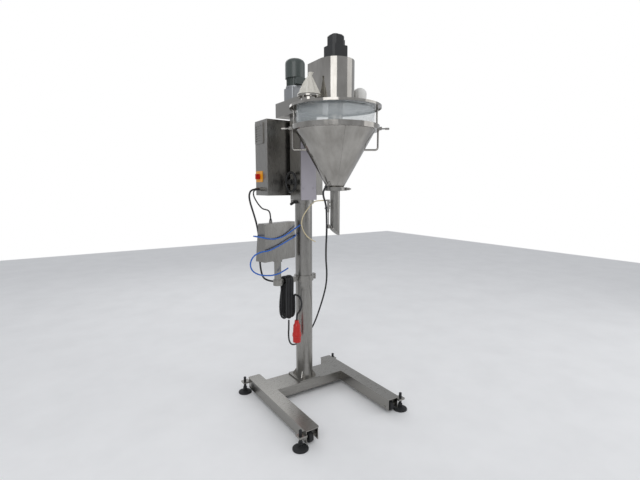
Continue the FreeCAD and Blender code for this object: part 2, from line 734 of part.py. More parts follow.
def motor_cowl():
    """Domed fan cowl with an air gap ring above the stator."""
    z0 = ARM_TOP_Z + GEARBOX_HEIGHT + MOTOR_HEIGHT
    z1 = z0 + COWL_HEIGHT
    r = COWL_RADIUS
    t = 2.0
    dome = 30.0
    outer = [(r, z0), (r, z1 - dome)]
    inner = [(r - t, z0), (r - t, z1 - dome)]
    steps = 5
    for i in range(1, steps + 1):
        angle = math.radians(90 * i / steps)
        outer.append((r * math.cos(angle) ** 0.7 if i < steps else 0, z1 - dome + dome * math.sin(angle)))
        inner.append(((r - t) * math.cos(angle) ** 0.7 if i < steps else 0,
                      z1 - dome + (dome - t) * math.sin(angle)))
    shell = turned(outer + list(reversed(inner)), 0, MOTOR_Y)
    plate = upright(r - t, 0, MOTOR_Y, z0, z0 + 3)
    return fused([shell, plate])


def sprocket(teeth, x, y, hub_radius, bore, hub_top):
    """Roller-chain sprocket with scalloped tooth gaps and a hub on its upper face."""
    pitch_radius = CHAIN_PITCH / (2 * math.sin(math.pi / teeth))
    half = SPROCKET_THICKNESS / 2
    points = []
    for i in range(teeth):
        a = 2 * math.pi * i / teeth
        step = math.pi / teeth
        for radius, part in ((-4.2, -0.28), (-4.2, 0.28), (1.5, 0.72), (3.0, 1.0), (1.5, 1.28)):
            points.append((pitch_radius + radius, a + step * part))
    corners = [Vector(r * math.cos(a), r * math.sin(a), 0) for r, a in points]
    disc = slab(corners, Vector(x, y, CHAIN_Z - half), Vector(0, 0, SPROCKET_THICKNESS))
    hub = upright(hub_radius, x, y, CHAIN_Z, hub_top)
    whole = fused([disc, hub])
    if bore > 0:
        whole = whole.cut(upright(bore, x, y, CHAIN_Z - 40, hub_top + 1))
    return whole


def drive_sprocket():
    """The small sprocket with the gearbox's output shaft."""
    wheel_ = sprocket(DRIVE_TEETH, 0, MOTOR_Y, 20, 0, CHAIN_Z + 16)
    shaft = upright(12, 0, MOTOR_Y, CHAIN_Z - 12, ARM_TOP_Z - SEAT_GAP)
    return fused([wheel_, shaft])


def driven_sprocket():
    return sprocket(DRIVEN_TEETH, 0, HOPPER_Y, AGITATOR_RADIUS + 8, AGITATOR_RADIUS, CHAIN_Z + 14)


def chain():
    """Two plate strands round both sprockets, joined by rollers on the free runs."""
    small = CHAIN_PITCH / (2 * math.sin(math.pi / DRIVE_TEETH))
    large = CHAIN_PITCH / (2 * math.sin(math.pi / DRIVEN_TEETH))
    length = MOTOR_Y - HOPPER_Y
    lean = math.asin((large - small) / length)

    def loop(offset):
        a, b = small + offset, large + offset
        c, s = math.cos(lean), math.sin(lean)
        right_rear = Vector(a * c, MOTOR_Y - a * s, 0)
        left_rear = Vector(-a * c, MOTOR_Y - a * s, 0)
        right_front = Vector(b * c, HOPPER_Y - b * s, 0)
        left_front = Vector(-b * c, HOPPER_Y - b * s, 0)
        edges = [Part.makeLine(right_front, right_rear)]
        edges.append(Part.Arc(right_rear, Vector(0, MOTOR_Y + a, 0), left_rear).toShape())
        edges.append(Part.makeLine(left_rear, left_front))
        edges.append(Part.Arc(left_front, Vector(0, HOPPER_Y - b, 0), right_front).toShape())
        return Part.Face(Part.Wire(edges))

    band = loop(CHAIN_WIDTH / 2).cut(loop(-CHAIN_WIDTH / 2))
    gap = SPROCKET_THICKNESS / 2 + OPEN_GAP
    strands = []
    for z in (CHAIN_Z + gap, CHAIN_Z - gap - CHAIN_PLATE):
        strand = band.extrude(Vector(0, 0, CHAIN_PLATE))
        strand.translate(Vector(0, 0, z))
        strands.append(strand)
    rollers = []
    run = length - small - large - 2 * CHAIN_PITCH
    count = int(run / (2 * CHAIN_PITCH))
    start = HOPPER_Y + large + CHAIN_PITCH
    for side in (-1, 1):
        for i in range(count + 1):
            y = start + i * run / count
            x = side * (large * math.cos(lean) - (y - HOPPER_Y) * math.tan(lean) + large * math.sin(lean) ** 2)
            rollers.append(upright(3, x, y, CHAIN_Z - gap, CHAIN_Z + gap))
    return fused(strands + rollers)


# ---------------------------------------------------------------- head

def u_plan(offset, rear_y, z0, z1):
    """Prism with a half-round front about the filling axis and a flat rear."""
    r = ARM_HALF_WIDTH - offset
    left_front = Vector(-r, HOPPER_Y, z0)
    right_front = Vector(r, HOPPER_Y, z0)
    edges = [Part.Arc(left_front, Vector(0, HOPPER_Y - r, z0), right_front).toShape()]
    edges.append(Part.makeLine(right_front, Vector(r, rear_y, z0)))
    edges.append(Part.makeLine(Vector(r, rear_y, z0), Vector(-r, rear_y, z0)))
    edges.append(Part.makeLine(Vector(-r, rear_y, z0), left_front))
    return Part.Face(Part.Wire(edges)).extrude(Vector(0, 0, z1 - z0))


def drive_cover():
    """Polished shell over the drive: closed top and back, open below and over the arm."""
    rear = ARM_FRONT_Y - SEAT_GAP
    t = COVER_WALL
    shell = u_plan(0, rear, LID_TOP_Z, COVER_TOP_Z)
    shell = shell.cut(u_plan(t, rear - t, LID_TOP_Z - 1, COVER_TOP_Z - t))
    mouth = ARM_HALF_WIDTH - ARM_WALL
    opening = box(-mouth, mouth, rear - t - 1, rear + 1, LID_TOP_Z - 1, ARM_TOP_Z - ARM_WALL)
    servo_hole = upright(SHAFT_RADIUS + 12, 0, HOPPER_Y, COVER_TOP_Z - t - 1, COVER_TOP_Z + 1)
    return shell.cut(opening).cut(servo_hole)


def drive_frame():
    """Bearing plate on the lid's posts and four pillars up to the servo's top plate."""
    w = ARM_HALF_WIDTH - COVER_WALL - 6
    z = ARM_TOP_Z
    y0, y1 = HOPPER_Y - 66, ARM_FRONT_Y - COVER_WALL - OPEN_GAP
    plate = box(-w, w, y0, y1, z, z + FRAME_PLATE)
    top = box(-62, 62, HOPPER_Y - 62, HOPPER_Y + 62, COVER_TOP_Z - COVER_WALL - FRAME_PLATE,
              COVER_TOP_Z - COVER_WALL)
    pillars = []
    for x in (-50, 50):
        for y in (HOPPER_Y - 50, HOPPER_Y + 50):
            pillars.append(upright(PILLAR_RADIUS, x, y, z, COVER_TOP_Z - COVER_WALL - 1))
    for x in (-w + 8, w - 8):
        for y in (HOPPER_Y, y1 - 10):
            pillars.append(upright(7, x, y, LID_TOP_Z, z + 1))
    whole = fused([plate, top] + pillars)
    whole = whole.cut(upright(HOUSING_RADIUS, 0, HOPPER_Y, z - 1, z + FRAME_PLATE + 1))
    whole = whole.cut(upright(SHAFT_RADIUS + 12, 0, HOPPER_Y, COVER_TOP_Z - 30, COVER_TOP_Z))
    return whole.common(u_plan(COVER_WALL + 1, y1, LID_TOP_Z, COVER_TOP_Z))


def servo_motor():
    """Square servo: flange block, narrower encoder block and a round cap with a stub."""
    z0 = COVER_TOP_Z
    z1 = z0 + SERVO_HEIGHT
    z2 = z1 + SERVO_UPPER_HEIGHT

    def block(side, cut, low, high):
        s = side / 2
        outline = [Vector(s, -s + cut, 0), Vector(s, s - cut, 0), Vector(s - cut, s, 0),
                   Vector(-s + cut, s, 0), Vector(-s, s - cut, 0), Vector(-s, -s + cut, 0),
                   Vector(-s + cut, -s, 0), Vector(s - cut, -s, 0)]
        return slab(outline, Vector(0, HOPPER_Y, low), Vector(0, 0, high - low))

    lower = block(SERVO_SIDE, SERVO_CHAMFER, z0, z1)
    flange = block(SERVO_SIDE + 4, SERVO_CHAMFER, z0, z0 + 10)
    upper = block(SERVO_UPPER_SIDE, SERVO_CHAMFER + 5, z1, z2 - 6)
    cap = block(SERVO_UPPER_SIDE - 12, SERVO_CHAMFER + 3, z2 - 6, z2)
    plug = box(SERVO_UPPER_SIDE / 2 - 2, SERVO_UPPER_SIDE / 2 + 10, HOPPER_Y - 16, HOPPER_Y + 16,
               z1 + 8, z1 + 36)
    return fused([lower, flange, upper, cap, plug])


# ---------------------------------------------------------------- hopper

def hopper_lid():
    """Dished lid with a turned-down lip and a bore for the agitator tube."""
    t = LID_THICKNESS
    bore = AGITATOR_RADIUS + RUNNING_FIT
    top = LID_TOP_Z
    under = LID_UNDER_Z
    outline = [(bore, top), (LID_RADIUS, top), (LID_RADIUS, under - LID_LIP),
               (LID_RADIUS - 4, under - LID_LIP), (LID_RADIUS - 6, under), (RING_RADIUS - 20, under),
               (RING_RADIUS - 40, under - LID_DISH), (bore, under - LID_DISH)]
    lid = turned(outline, 0, HOPPER_Y)
    inlet = upright(INLET_RADIUS - 2, -PORT_X, HOPPER_Y, under - 20, top + 1)
    vent = upright(VENT_RADIUS - 12, PORT_X, HOPPER_Y, under - 20, top + 1)
    return lid.cut(inlet).cut(vent)


def view_ring():
    return pipe(RING_RADIUS, RING_RADIUS - RING_WALL, 0, HOPPER_Y, RIM_TOP_Z, LID_UNDER_Z)


def at_side(distance, across, z, angle):
    a = math.radians(angle)
    x = distance * math.cos(a) - across * math.sin(a)
    y = HOPPER_Y + distance * math.sin(a) + across * math.cos(a)
    return Vector(x, y, z)


def side_angles():
    return (SIDE_ANGLE, SIDE_ANGLE + 180)


def tie_rods():
    """Rods that hold the lid on the rim, with a nut below."""
    rods = []
    for angle in side_angles():
        low = at_side(TIE_CIRCLE, 0, RIM_TOP_Z, angle)
        high = at_side(TIE_CIRCLE, 0, LID_UNDER_Z, angle)
        rods.append(rod(TIE_RADIUS, low, high))
    return rods


def cone_radius(z):
    """Outer radius of the hopper's cone at a height."""
    top = RIM_TOP_Z - RIM_HEIGHT
    share = (z - CONE_BOTTOM_Z) / (top - CONE_BOTTOM_Z)
    return CONE_BOTTOM_RADIUS + (RING_RADIUS - CONE_BOTTOM_RADIUS) * share


def hopper():
    """Flat rim ring, cone shell and outlet ferrule in one welding, with two bar handles."""
    t = HOPPER_WALL
    rim_low = RIM_TOP_Z - RIM_HEIGHT
    r = RING_RADIUS
    foot_z = SPOUT_TOP_Z + FERRULE_HEIGHT
    bore = SPOUT_RADIUS - SPOUT_WALL
    outline = [(r - t, RIM_TOP_Z), (RIM_RADIUS, RIM_TOP_Z), (RIM_RADIUS, rim_low),
               (r + 2, rim_low), (CONE_BOTTOM_RADIUS, CONE_BOTTOM_Z), (CONE_BOTTOM_RADIUS, foot_z),
               (bore, foot_z), (bore, foot_z + 4), (CONE_BOTTOM_RADIUS - t, CONE_BOTTOM_Z + 4),
               (r - t, rim_low + 2)]
    shell = turned(outline, 0, HOPPER_Y)
    handles = []
    for angle in side_angles():
        out = RIM_RADIUS - HANDLE_RADIUS - 1
        bend = 14
        low = rim_low - HANDLE_DROP
        top_point = at_side(out, 0, rim_low + 2, angle)
        a = at_side(out, 0, low + bend, angle)
        b = at_side(out - bend * 0.293, 0, low + bend * 0.293, angle)
        c = at_side(out - bend, 0, low, angle)
        end = at_side(cone_radius(low) - 1, 0, low, angle)
        path = Part.Wire([Part.makeLine(top_point, a), Part.Arc(a, b, c).toShape(), Part.makeLine(c, end)])
        ring = Part.makeCircle(HANDLE_RADIUS, top_point, Z_AXIS)
        handles.append(path.makePipeShell([Part.Wire([ring])], True, False))
    ears = [spun(latch_ears(), angle, 0, HOPPER_Y) for angle in side_angles()]
    tip = Vector(-CABLE_PORT_X, HOPPER_Y - 20, CABLE_PORT_Z)
    gland = rod(GLAND_RADIUS - 2, tip + Vector(30, 0, 30), tip)
    gland = gland.cut(turned([(0, CONE_BOTTOM_Z - 30), (CONE_BOTTOM_RADIUS - 1, CONE_BOTTOM_Z),
                              (cone_radius(rim_low) - 1, rim_low), (0, rim_low)], 0, HOPPER_Y))
    return fused([shell, gland] + handles + ears)


def latch_pin():
    """Distance from the hopper axis and height of a rim latch's pin."""
    return RIM_RADIUS + 8, RIM_TOP_Z - RIM_HEIGHT / 2


def latch_ears():
    """Ears and pin of one rim latch, on the +X side of the hopper axis."""
    r, z = latch_pin()
    h = LATCH_WIDTH / 2
    ears = [box(RIM_RADIUS - 3, r + 5, -h, -h + 4, z - 6, z + 9), box(RIM_RADIUS - 3, r + 5, h - 4, h, z - 6, z + 9)]
    ears.append(rod(2.5, Vector(r, -h + 1, z), Vector(r, h - 1, z)))
    whole = fused(ears)
    whole.translate(Vector(0, HOPPER_Y, 0))
    return whole


def rim_latch(angle):
    """Toggle lever with a round grip, swung about the pin between its ears."""
    r, z = latch_pin()
    h = LATCH_WIDTH / 2 - 4 - SEAT_GAP
    lever = box(r, r + 26, -h, h, z - 3, z + 3)
    knuckle = rod(5, Vector(r, -h, z), Vector(r, h, z))
    grip = rod(5.5, Vector(r + 24, 0, z), Vector(r + 44, 0, z))
    bore = rod(2.5 + RUNNING_FIT, Vector(r, -h - 1, z), Vector(r, h + 1, z))
    whole = fused([lever, knuckle, grip]).cut(bore)
    whole.translate(Vector(0, HOPPER_Y, 0))
    return spun(whole, angle, 0, HOPPER_Y)


# ---------------------------------------------------------------- outlet

def cut_normal():
    """Unit vector that points down and out of the spout's slanted mouth."""
    run = Vector(2 * SPOUT_RADIUS, 0, SPOUT_LONG_Z - SPOUT_SHORT_Z)
    run.normalize()
    return Vector(run.z, 0, -run.x), run


def spout():
    """Filling tube with its ferrule on top and a slanted mouth."""
    tube = pipe(SPOUT_RADIUS, SPOUT_RADIUS - SPOUT_WALL, 0, HOPPER_Y, SPOUT_LONG_Z - 20, SPOUT_TOP_Z)
    z = SPOUT_TOP_Z
    bore = SPOUT_RADIUS - SPOUT_WALL
    disc = pipe(CONE_BOTTOM_RADIUS, bore, 0, HOPPER_Y, z, z + FERRULE_HEIGHT - SEAT_GAP)
    normal, run = cut_normal()
    start = Vector(-SPOUT_RADIUS, HOPPER_Y, SPOUT_SHORT_Z)
    outline = [run * -30, run * 120, run * 120 + normal * 120, run * -30 + normal * 120]
    waste = slab(outline, start - Y_AXIS * 60, Y_AXIS * 120)
    return fused([tube.cut(waste), disc])


def neck_clamp():
    """Two-piece clamp round the ferrules with a swing bolt."""
    z = SPOUT_TOP_Z + FERRULE_HEIGHT
    h = FERRULE_HEIGHT - 1
    ring = pipe(CLAMP_RADIUS, CONE_BOTTOM_RADIUS + SEAT_GAP, 0, HOPPER_Y, z - h, z + h)
    ears = box(CLAMP_RADIUS - 4, CLAMP_RADIUS + 16, HOPPER_Y - 12, HOPPER_Y + 12, z - h, z + h)
    slit = box(CONE_BOTTOM_RADIUS - 2, CLAMP_RADIUS + 20, HOPPER_Y - 1.5, HOPPER_Y + 1.5, z - h - 1, z + h + 1)
    hole = rod(4 + RUNNING_FIT, Vector(CLAMP_RADIUS + 8, HOPPER_Y - 20, z),
               Vector(CLAMP_RADIUS + 8, HOPPER_Y + 20, z))
    hinge = rod(5, Vector(-CLAMP_RADIUS - 3, HOPPER_Y, z - h), Vector(-CLAMP_RADIUS - 3, HOPPER_Y, z + h))
    return fused([ring, ears, hinge]).cut(slit).cut(hole)


def clamp_nut():
    """Swing bolt with its wing nut."""
    z = SPOUT_TOP_Z + FERRULE_HEIGHT
    x = CLAMP_RADIUS + 8
    y = HOPPER_Y
    bolt = rod(4, Vector(x, y - 40, z), Vector(x, y + 12, z))
    nut = rod(7, Vector(x, y - 38, z), Vector(x, y - 12 - SEAT_GAP, z))
    wings = [Vector(-15, 0, -2), Vector(-13, 0, -4), Vector(13, 0, -4), Vector(15, 0, -2), Vector(15, 0, 4),
             Vector(0, 0, 3), Vector(-15, 0, 4)]
    wing = slab(wings, Vector(x, y - 37, z), Vector(0, 5, 0))
    return fused([bolt, nut, wing])


def hinge_point():
    return Vector(-SPOUT_RADIUS - 5, HOPPER_Y, SPOUT_SHORT_Z + 1)


def spout_hinge():
    """Bracket on the spout that carries the flap's pin and the cylinder's foot."""
    p = hinge_point()
    x = -SPOUT_RADIUS + 0.6
    ears = []
    for y in (-9, 6):
        ears.append(box(p.x - 4, x, p.y + y, p.y + y + 3, p.z - 1, p.z + 8))
    pin = rod(2, Vector(p.x, p.y - 10, p.z), Vector(p.x, p.y + 10, p.z))
    low = CYLINDER_TOP_Z - CYLINDER_LENGTH
    mounts = []
    for z in (low + 11, CYLINDER_TOP_Z - 19):
        mounts.append(box(cylinder_x() + CYLINDER_RADIUS - 0.9, x, p.y - 5, p.y + 5, z, z + 8))
    return ears + [pin] + mounts


def cylinder_x():
    return hinge_point().x - FLAP_LEVER


def outlet_flap():
    """Oval flap under the slanted mouth with a knuckle and a lever to the rod's fork."""
    normal, run = cut_normal()
    p = hinge_point()
    slope = math.sqrt((2 * SPOUT_RADIUS) ** 2 + (SPOUT_SHORT_Z - SPOUT_LONG_Z) ** 2)
    middle = Vector(0, HOPPER_Y, (SPOUT_SHORT_Z + SPOUT_LONG_Z) / 2) + normal * 0.6
    oval = Part.Ellipse(middle, slope / 2 + 0.5, SPOUT_RADIUS + 0.5)
    oval = Part.Face(Part.Wire([oval.toShape()]))
    turn = math.degrees(math.atan2(SPOUT_SHORT_Z - SPOUT_LONG_Z, 2 * SPOUT_RADIUS))
    oval.rotate(middle, Y_AXIS, turn)
    plate = oval.extrude(normal * FLAP_THICKNESS)
    knuckle = rod(4, p + Vector(0, -5.5, 0), p + Vector(0, 5.5, 0))
    inner = Vector(-SPOUT_RADIUS + 4, HOPPER_Y, SPOUT_SHORT_Z - 7)
    strap = slab([Vector(0, 0, 0), Vector(-9, 0, 3), Vector(-9, 0, 6), Vector(0, 0, 2.4)],
                 inner + Vector(0, -5, 0), Vector(0, 10, 0))
    lever = box(p.x - FLAP_LEVER - 3, p.x, p.y - 2, p.y + 2, p.z - 3, p.z + 3)
    bore = rod(2 + RUNNING_FIT, p + Vector(0, -12, 0), p + Vector(0, 12, 0))
    return fused([plate, strap, knuckle, lever]).cut(bore)


def air_cylinder():
    """Round cylinder with end caps, two push-in fittings and a nose."""
    x, y = cylinder_x(), HOPPER_Y
    top = CYLINDER_TOP_Z
    low = top - CYLINDER_LENGTH
    body = upright(CYLINDER_RADIUS - 1, x, y, low, top)
    caps = [upright(CYLINDER_RADIUS, x, y, low, low + 9), upright(CYLINDER_RADIUS, x, y, top - 9, top)]
    nose = upright(5, x, y, low - 18, low)
    fittings = []
    for z in (low + 4.5, top - 4.5):
        fittings.append(rod(4, Vector(x, y, z), Vector(x - 22, y, z)))
    bore = upright(ROD_RADIUS + RUNNING_FIT, x, y, low - 19, top - 12)
    return fused([body, nose] + caps + fittings).cut(bore)


def cylinder_rod():
    """Piston rod with the fork that straddles the flap's lever."""
    x, y = cylinder_x(), HOPPER_Y
    low = CYLINDER_TOP_Z - CYLINDER_LENGTH
    p = hinge_point()
    shaft = upright(ROD_RADIUS, x, y, p.z + 14, low + 8)
    bridge = box(x - 6, x + 6, y - 6, y + 6, p.z + 9, p.z + 16)
    cheeks = []
    for side in (-6, 3):
        cheeks.append(box(x - 6, x + 6, y + side, y + side + 3, p.z - 5, p.z + 10))
    return fused([shaft, bridge] + cheeks)


# ---------------------------------------------------------------- inside

def bearing_housing():
    """Fixed inner tube with a flange on the bearing plate; carries shaft and agitator."""
    low = AGITATOR_BOTTOM_Z - 12
    top = ARM_TOP_Z + FRAME_PLATE
    bore = SHAFT_RADIUS + RUNNING_FIT
    outline = [(bore, low), (HOUSING_RADIUS + 6, low), (HOUSING_RADIUS + 6, low + 10),
               (HOUSING_RADIUS, low + 10), (HOUSING_RADIUS, top), (HOUSING_RADIUS + 12, top),
               (HOUSING_RADIUS + 12, top + 8), (bore, top + 8), (bore, top - 30),
               (HOUSING_RADIUS - 6, top - 30), (HOUSING_RADIUS - 6, low + 30), (bore, low + 30)]
    return turned(outline, 0, HOPPER_Y)


def auger():
    """Drive shaft, core and helical flight in one piece."""
    core_top = AUGER_END_Z + AUGER_TURNS * AUGER_PITCH + 20
    shaft = upright(SHAFT_RADIUS, 0, HOPPER_Y, core_top - 4, COVER_TOP_Z - 8)
    core = upright(AUGER_CORE, 0, HOPPER_Y, AUGER_END_Z - 4, core_top)
    height = AUGER_TURNS * AUGER_PITCH
    helix = Part.makeHelix(AUGER_PITCH, height, AUGER_CORE - 1)
    inner = AUGER_CORE - 1
    half = AUGER_BLADE / 2
    corners = [Vector(inner, 0, -half), Vector(AUGER_RADIUS, 0, -half * 0.6),
               Vector(AUGER_RADIUS, 0, half * 0.6), Vector(inner, 0, half)]
    profile = Part.makePolygon(corners + [corners[0]])
    flight = Part.Wire(helix.Edges).makePipeShell([profile], True, True)
    flight.translate(Vector(0, HOPPER_Y, AUGER_END_Z + 2))
    return shaft.fuse(core).fuse(flight)


def agitator():
    """Hollow drive tube with two arms and scraper bars that follow the cone wall."""
    tube = pipe(AGITATOR_RADIUS, HOUSING_RADIUS + RUNNING_FIT, 0, HOPPER_Y, AGITATOR_BOTTOM_Z,
                CHAIN_Z + 14)
    high = RIM_TOP_Z - RIM_HEIGHT - 12
    low = CONE_BOTTOM_Z + 34
    parts = [tube]
    for side in (-1, 1):
        def inner_point(z):
            return side * (cone_radius(z) - HOPPER_WALL - SCRAPER_GAP)
        t = side * SCRAPER_THICKNESS
        outline = [Vector(0, inner_point(low), low), Vector(0, inner_point(high), high),
                   Vector(0, inner_point(high) - t, high), Vector(0, inner_point(low) - t, low)]
        parts.append(slab(outline, Vector(-SCRAPER_WIDTH / 2, HOPPER_Y, 0), Vector(SCRAPER_WIDTH, 0, 0)))
        arm_z = AGITATOR_BOTTOM_Z + 30
        start = Vector(0, HOPPER_Y + side * (AGITATOR_RADIUS - 3), arm_z)
        end = Vector(0, HOPPER_Y + inner_point(arm_z) - t * 0.6, arm_z)
        parts.append(rod(6, start, end))
    return fused(parts)


# ---------------------------------------------------------------- ports

def inlet_port():
    """Powder inlet: short tube with a bolted flange."""
    x = -PORT_X
    z0 = LID_TOP_Z
    z1 = z0 + INLET_HEIGHT
    tube = pipe(INLET_RADIUS, INLET_RADIUS - 2, x, HOPPER_Y, z0, z1)
    flange = pipe(INLET_FLANGE_RADIUS, INLET_RADIUS - 2, x, HOPPER_Y, z1 - 6, z1)
    foot_ring = pipe(INLET_RADIUS + 8, INLET_RADIUS - 2, x, HOPPER_Y, z0, z0 + 3)
    bolts = []
    for i in range(INLET_BOLTS):
        a = 2 * math.pi * (i + 0.5) / INLET_BOLTS
        r = (INLET_RADIUS + INLET_FLANGE_RADIUS) / 2
        bx = x + r * math.cos(a)
        by = HOPPER_Y + r * math.sin(a)
        bolts.append(upright(5, bx, by, z1 - 12, z1 + 6))
    return fused([tube, flange, foot_ring] + bolts)


def vent_filter():
    """Pleated vent cartridge under its cap."""
    x = PORT_X
    z0 = LID_TOP_Z
    z1 = z0 + VENT_HEIGHT
    count = 16
    points = []
    for i in range(count * 2):
        a = math.pi * i / count
        r = VENT_RADIUS - 3 - (4 if i % 2 else 0)
        points.append(Vector(r * math.cos(a), r * math.sin(a), 0))
    pleats = slab(points, Vector(x, HOPPER_Y, z0 + 9), Vector(0, 0, VENT_HEIGHT - 19))
    collar = upright(VENT_RADIUS, x, HOPPER_Y, z0, z0 + 10)
    cap = upright(VENT_RADIUS, x, HOPPER_Y, z1 - 11, z1)
    return fused([collar, pleats, cap])


def inlet_bag():
    """Film gathered to a point over the inlet's flange."""
    z = LID_TOP_Z + INLET_HEIGHT + 6 + SEAT_GAP
    r = INLET_FLANGE_RADIUS
    peak = LID_TOP_Z + BAG_PEAK
    t = BAG_THICKNESS
    outline = [(0, z), (r, z), (r + t, z - 2), (r * 0.55, z + 0.45 * (peak - z)), (10, peak - 18), (14, peak),
               (0, peak)]
    return turned(outline, -PORT_X, HOPPER_Y)


def vent_bag():
    """Loose bag pulled over the vent cartridge."""
    t = BAG_THICKNESS
    inner = VENT_RADIUS + OPEN_GAP
    z0 = LID_TOP_Z + SEAT_GAP
    z1 = LID_TOP_Z + VENT_HEIGHT + SEAT_GAP
    outline = [(inner + 8, z0), (inner + 8 + t, z0), (inner + t, z0 + 22), (inner + t, z1), (8, z1 + 22),
               (0, z1 + 22), (0, z1), (inner, z1), (inner, z0 + 22)]
    return turned(outline, PORT_X, HOPPER_Y)


# ---------------------------------------------------------------- operator box

def bracket_clamp():
    """Two-bolt ring on the column that carries the swinging arm."""
    r = COLUMN_RADIUS + RUNNING_FIT
    z1 = BRACKET_Z + BRACKET_HEIGHT / 2
    z0 = z1 - BRACKET_HEIGHT
    outer = COLUMN_RADIUS + BRACKET_WALL
    ring = pipe(outer, r, 0, 0, z0, z1)
    ears = box(outer - 5, outer + 20, -12, 12, z0, z1)
    ears = ears.cut(box(outer - 6, outer + 21, -1.5, 1.5, z0 - 1, z1 + 1))
    bolts = []
    for z in (z0 + 9, z1 - 9):
        bolts.append(rod(4, Vector(outer + 10, -17, z), Vector(outer + 10, 17, z)))
    arm_low = BRACKET_Z - ARM_BAR_HEIGHT / 2
    bar = box(PANEL_X, 0, -ARM_BAR_WIDTH / 2, ARM_BAR_WIDTH / 2, arm_low, arm_low + ARM_BAR_HEIGHT)
    bar.rotate(Vector(0, 0, 0), Z_AXIS, math.degrees(math.atan2(PANEL_Y, PANEL_X)) + 180)
    socket = upright(POST_RADIUS + 7, PANEL_X, PANEL_Y, z0, z1)
    whole = fused([ring, ears, bar, socket] + bolts)
    return whole.cut(upright(r, 0, 0, z0 - 1, z1 + 1))


def panel_post():
    z0 = BRACKET_Z + BRACKET_HEIGHT / 2
    return pipe(POST_RADIUS, POST_RADIUS - 3, PANEL_X, PANEL_Y, z0, PANEL_BOTTOM_Z - 12)


def panel_turned(shape):
    shape.rotate(Vector(0, 0, 0), Z_AXIS, PANEL_TURN)
    shape.translate(Vector(PANEL_X, PANEL_Y, 0))
    return shape


def panel_profile(inset):
    """Side view of the wedge-shaped box: upright back, sloping screen face."""
    z0 = PANEL_BOTTOM_Z + inset
    z1 = PANEL_BOTTOM_Z + PANEL_HEIGHT - inset
    back = -PANEL_TOP_DEPTH / 2 + inset
    slope = (PANEL_BOTTOM_DEPTH - PANEL_TOP_DEPTH) / PANEL_HEIGHT
    front_low = back - inset + PANEL_BOTTOM_DEPTH - inset - slope * inset
    front_high = back - inset + PANEL_TOP_DEPTH - inset + slope * inset
    return [Vector(0, back, z0), Vector(0, front_low, z0), Vector(0, front_high, z1), Vector(0, back, z1)]


def panel_box():
    """Welded wedge box with a swivel collar below."""
    w = PANEL_WIDTH / 2
    shell = slab(panel_profile(0), Vector(-w, 0, 0), Vector(PANEL_WIDTH, 0, 0))
    inside = slab(panel_profile(2), Vector(-w + 2, 0, 0), Vector(PANEL_WIDTH - 4, 0, 0))
    shell = shell.cut(inside)
    collar = upright(POST_RADIUS + 6, 0, 0, PANEL_BOTTOM_Z - 12 + SEAT_GAP, PANEL_BOTTOM_Z + 1)
    pivot = upright(POST_RADIUS - 3 - RUNNING_FIT, 0, 0, PANEL_BOTTOM_Z - 40, PANEL_BOTTOM_Z - 5)
    top = PANEL_BOTTOM_Z + PANEL_HEIGHT
    gland = upright(GLAND_RADIUS - 2, -PANEL_GLAND_X, 0, top - 1, top + PANEL_GLAND_HEIGHT)
    return panel_turned(fused([shell, collar, pivot, gland]))


def panel_screen():
    """Touch screen with its bezel, flush-mounted on the sloping face."""
    profile = panel_profile(0)
    low, high = profile[1], profile[2]
    along = (high - low).normalize()
    outward = Vector(0, along.z, -along.y)
    w, h = 88.0, 66.0
    centre = (profile[1] + profile[2]) * 0.5 + outward * SEAT_GAP
    outline = [along * -h, along * h, along * h + outward * 6, along * -h + outward * 6]
    bezel = slab(outline, centre + Vector(-w, 0, 0), Vector(2 * w, 0, 0))
    recess = [along * (-h + 11), along * (h - 11), along * (h - 11) + outward * 8, along * (-h + 11) + outward * 8]
    glass = slab(recess, centre + outward * 4.5 + Vector(-w + 11, 0, 0), Vector(2 * w - 22, 0, 0))
    return panel_turned(bezel.cut(glass))


# ---------------------------------------------------------------- cords

def cord(name, diameter, points):
    """Tube of straight runs and tangent arcs, each as large as its runs allow."""
    spots = [Vector(*p) for p in points]
    edges = []
    start = spots[0]
    smallest = 1e9
    for i in range(1, len(spots) - 1):
        before = spots[i] - spots[i - 1]
        after = spots[i + 1] - spots[i]
        turn = before.getAngle(after)
        reach = 0.45 * min(before.Length, after.Length)
        smallest = min(smallest, reach / math.tan(turn / 2))
        into = Vector(before).normalize()
        out = Vector(after).normalize()
        a = spots[i] - into * reach
        b = spots[i] + out * reach
        bisector = (out - into).normalize()
        radius = reach / math.tan(turn / 2)
        centre = spots[i] + bisector * math.hypot(radius, reach)
        middle = centre - bisector * radius
        edges.append(Part.LineSegment(start, a).toShape())
        edges.append(Part.Arc(a, middle, b).toShape())
        start = b
    edges.append(Part.LineSegment(start, spots[-1]).toShape())
    path = Part.Wire(edges)
    ring = Part.makeCircle(diameter / 2, spots[0], spots[1] - spots[0])
    tube = path.makePipeShell([Part.Wire([ring])], True, False)
    expected = math.pi * diameter ** 2 / 4 * path.Length
    print(name, "length", round(path.Length), "smallest radius", round(smallest, 1),
          "in diameters", round(smallest / diameter, 1), "volume ratio", round(tube.Volume / expected, 4))
    save(name, tube)


def hank_turned(shape):
    """Set a piece of the hank square to the swinging arm it hangs on."""
    shape.rotate(Vector(0, 0, 0), Z_AXIS, math.degrees(math.atan2(PANEL_Y, PANEL_X)) + 180)
    return shape


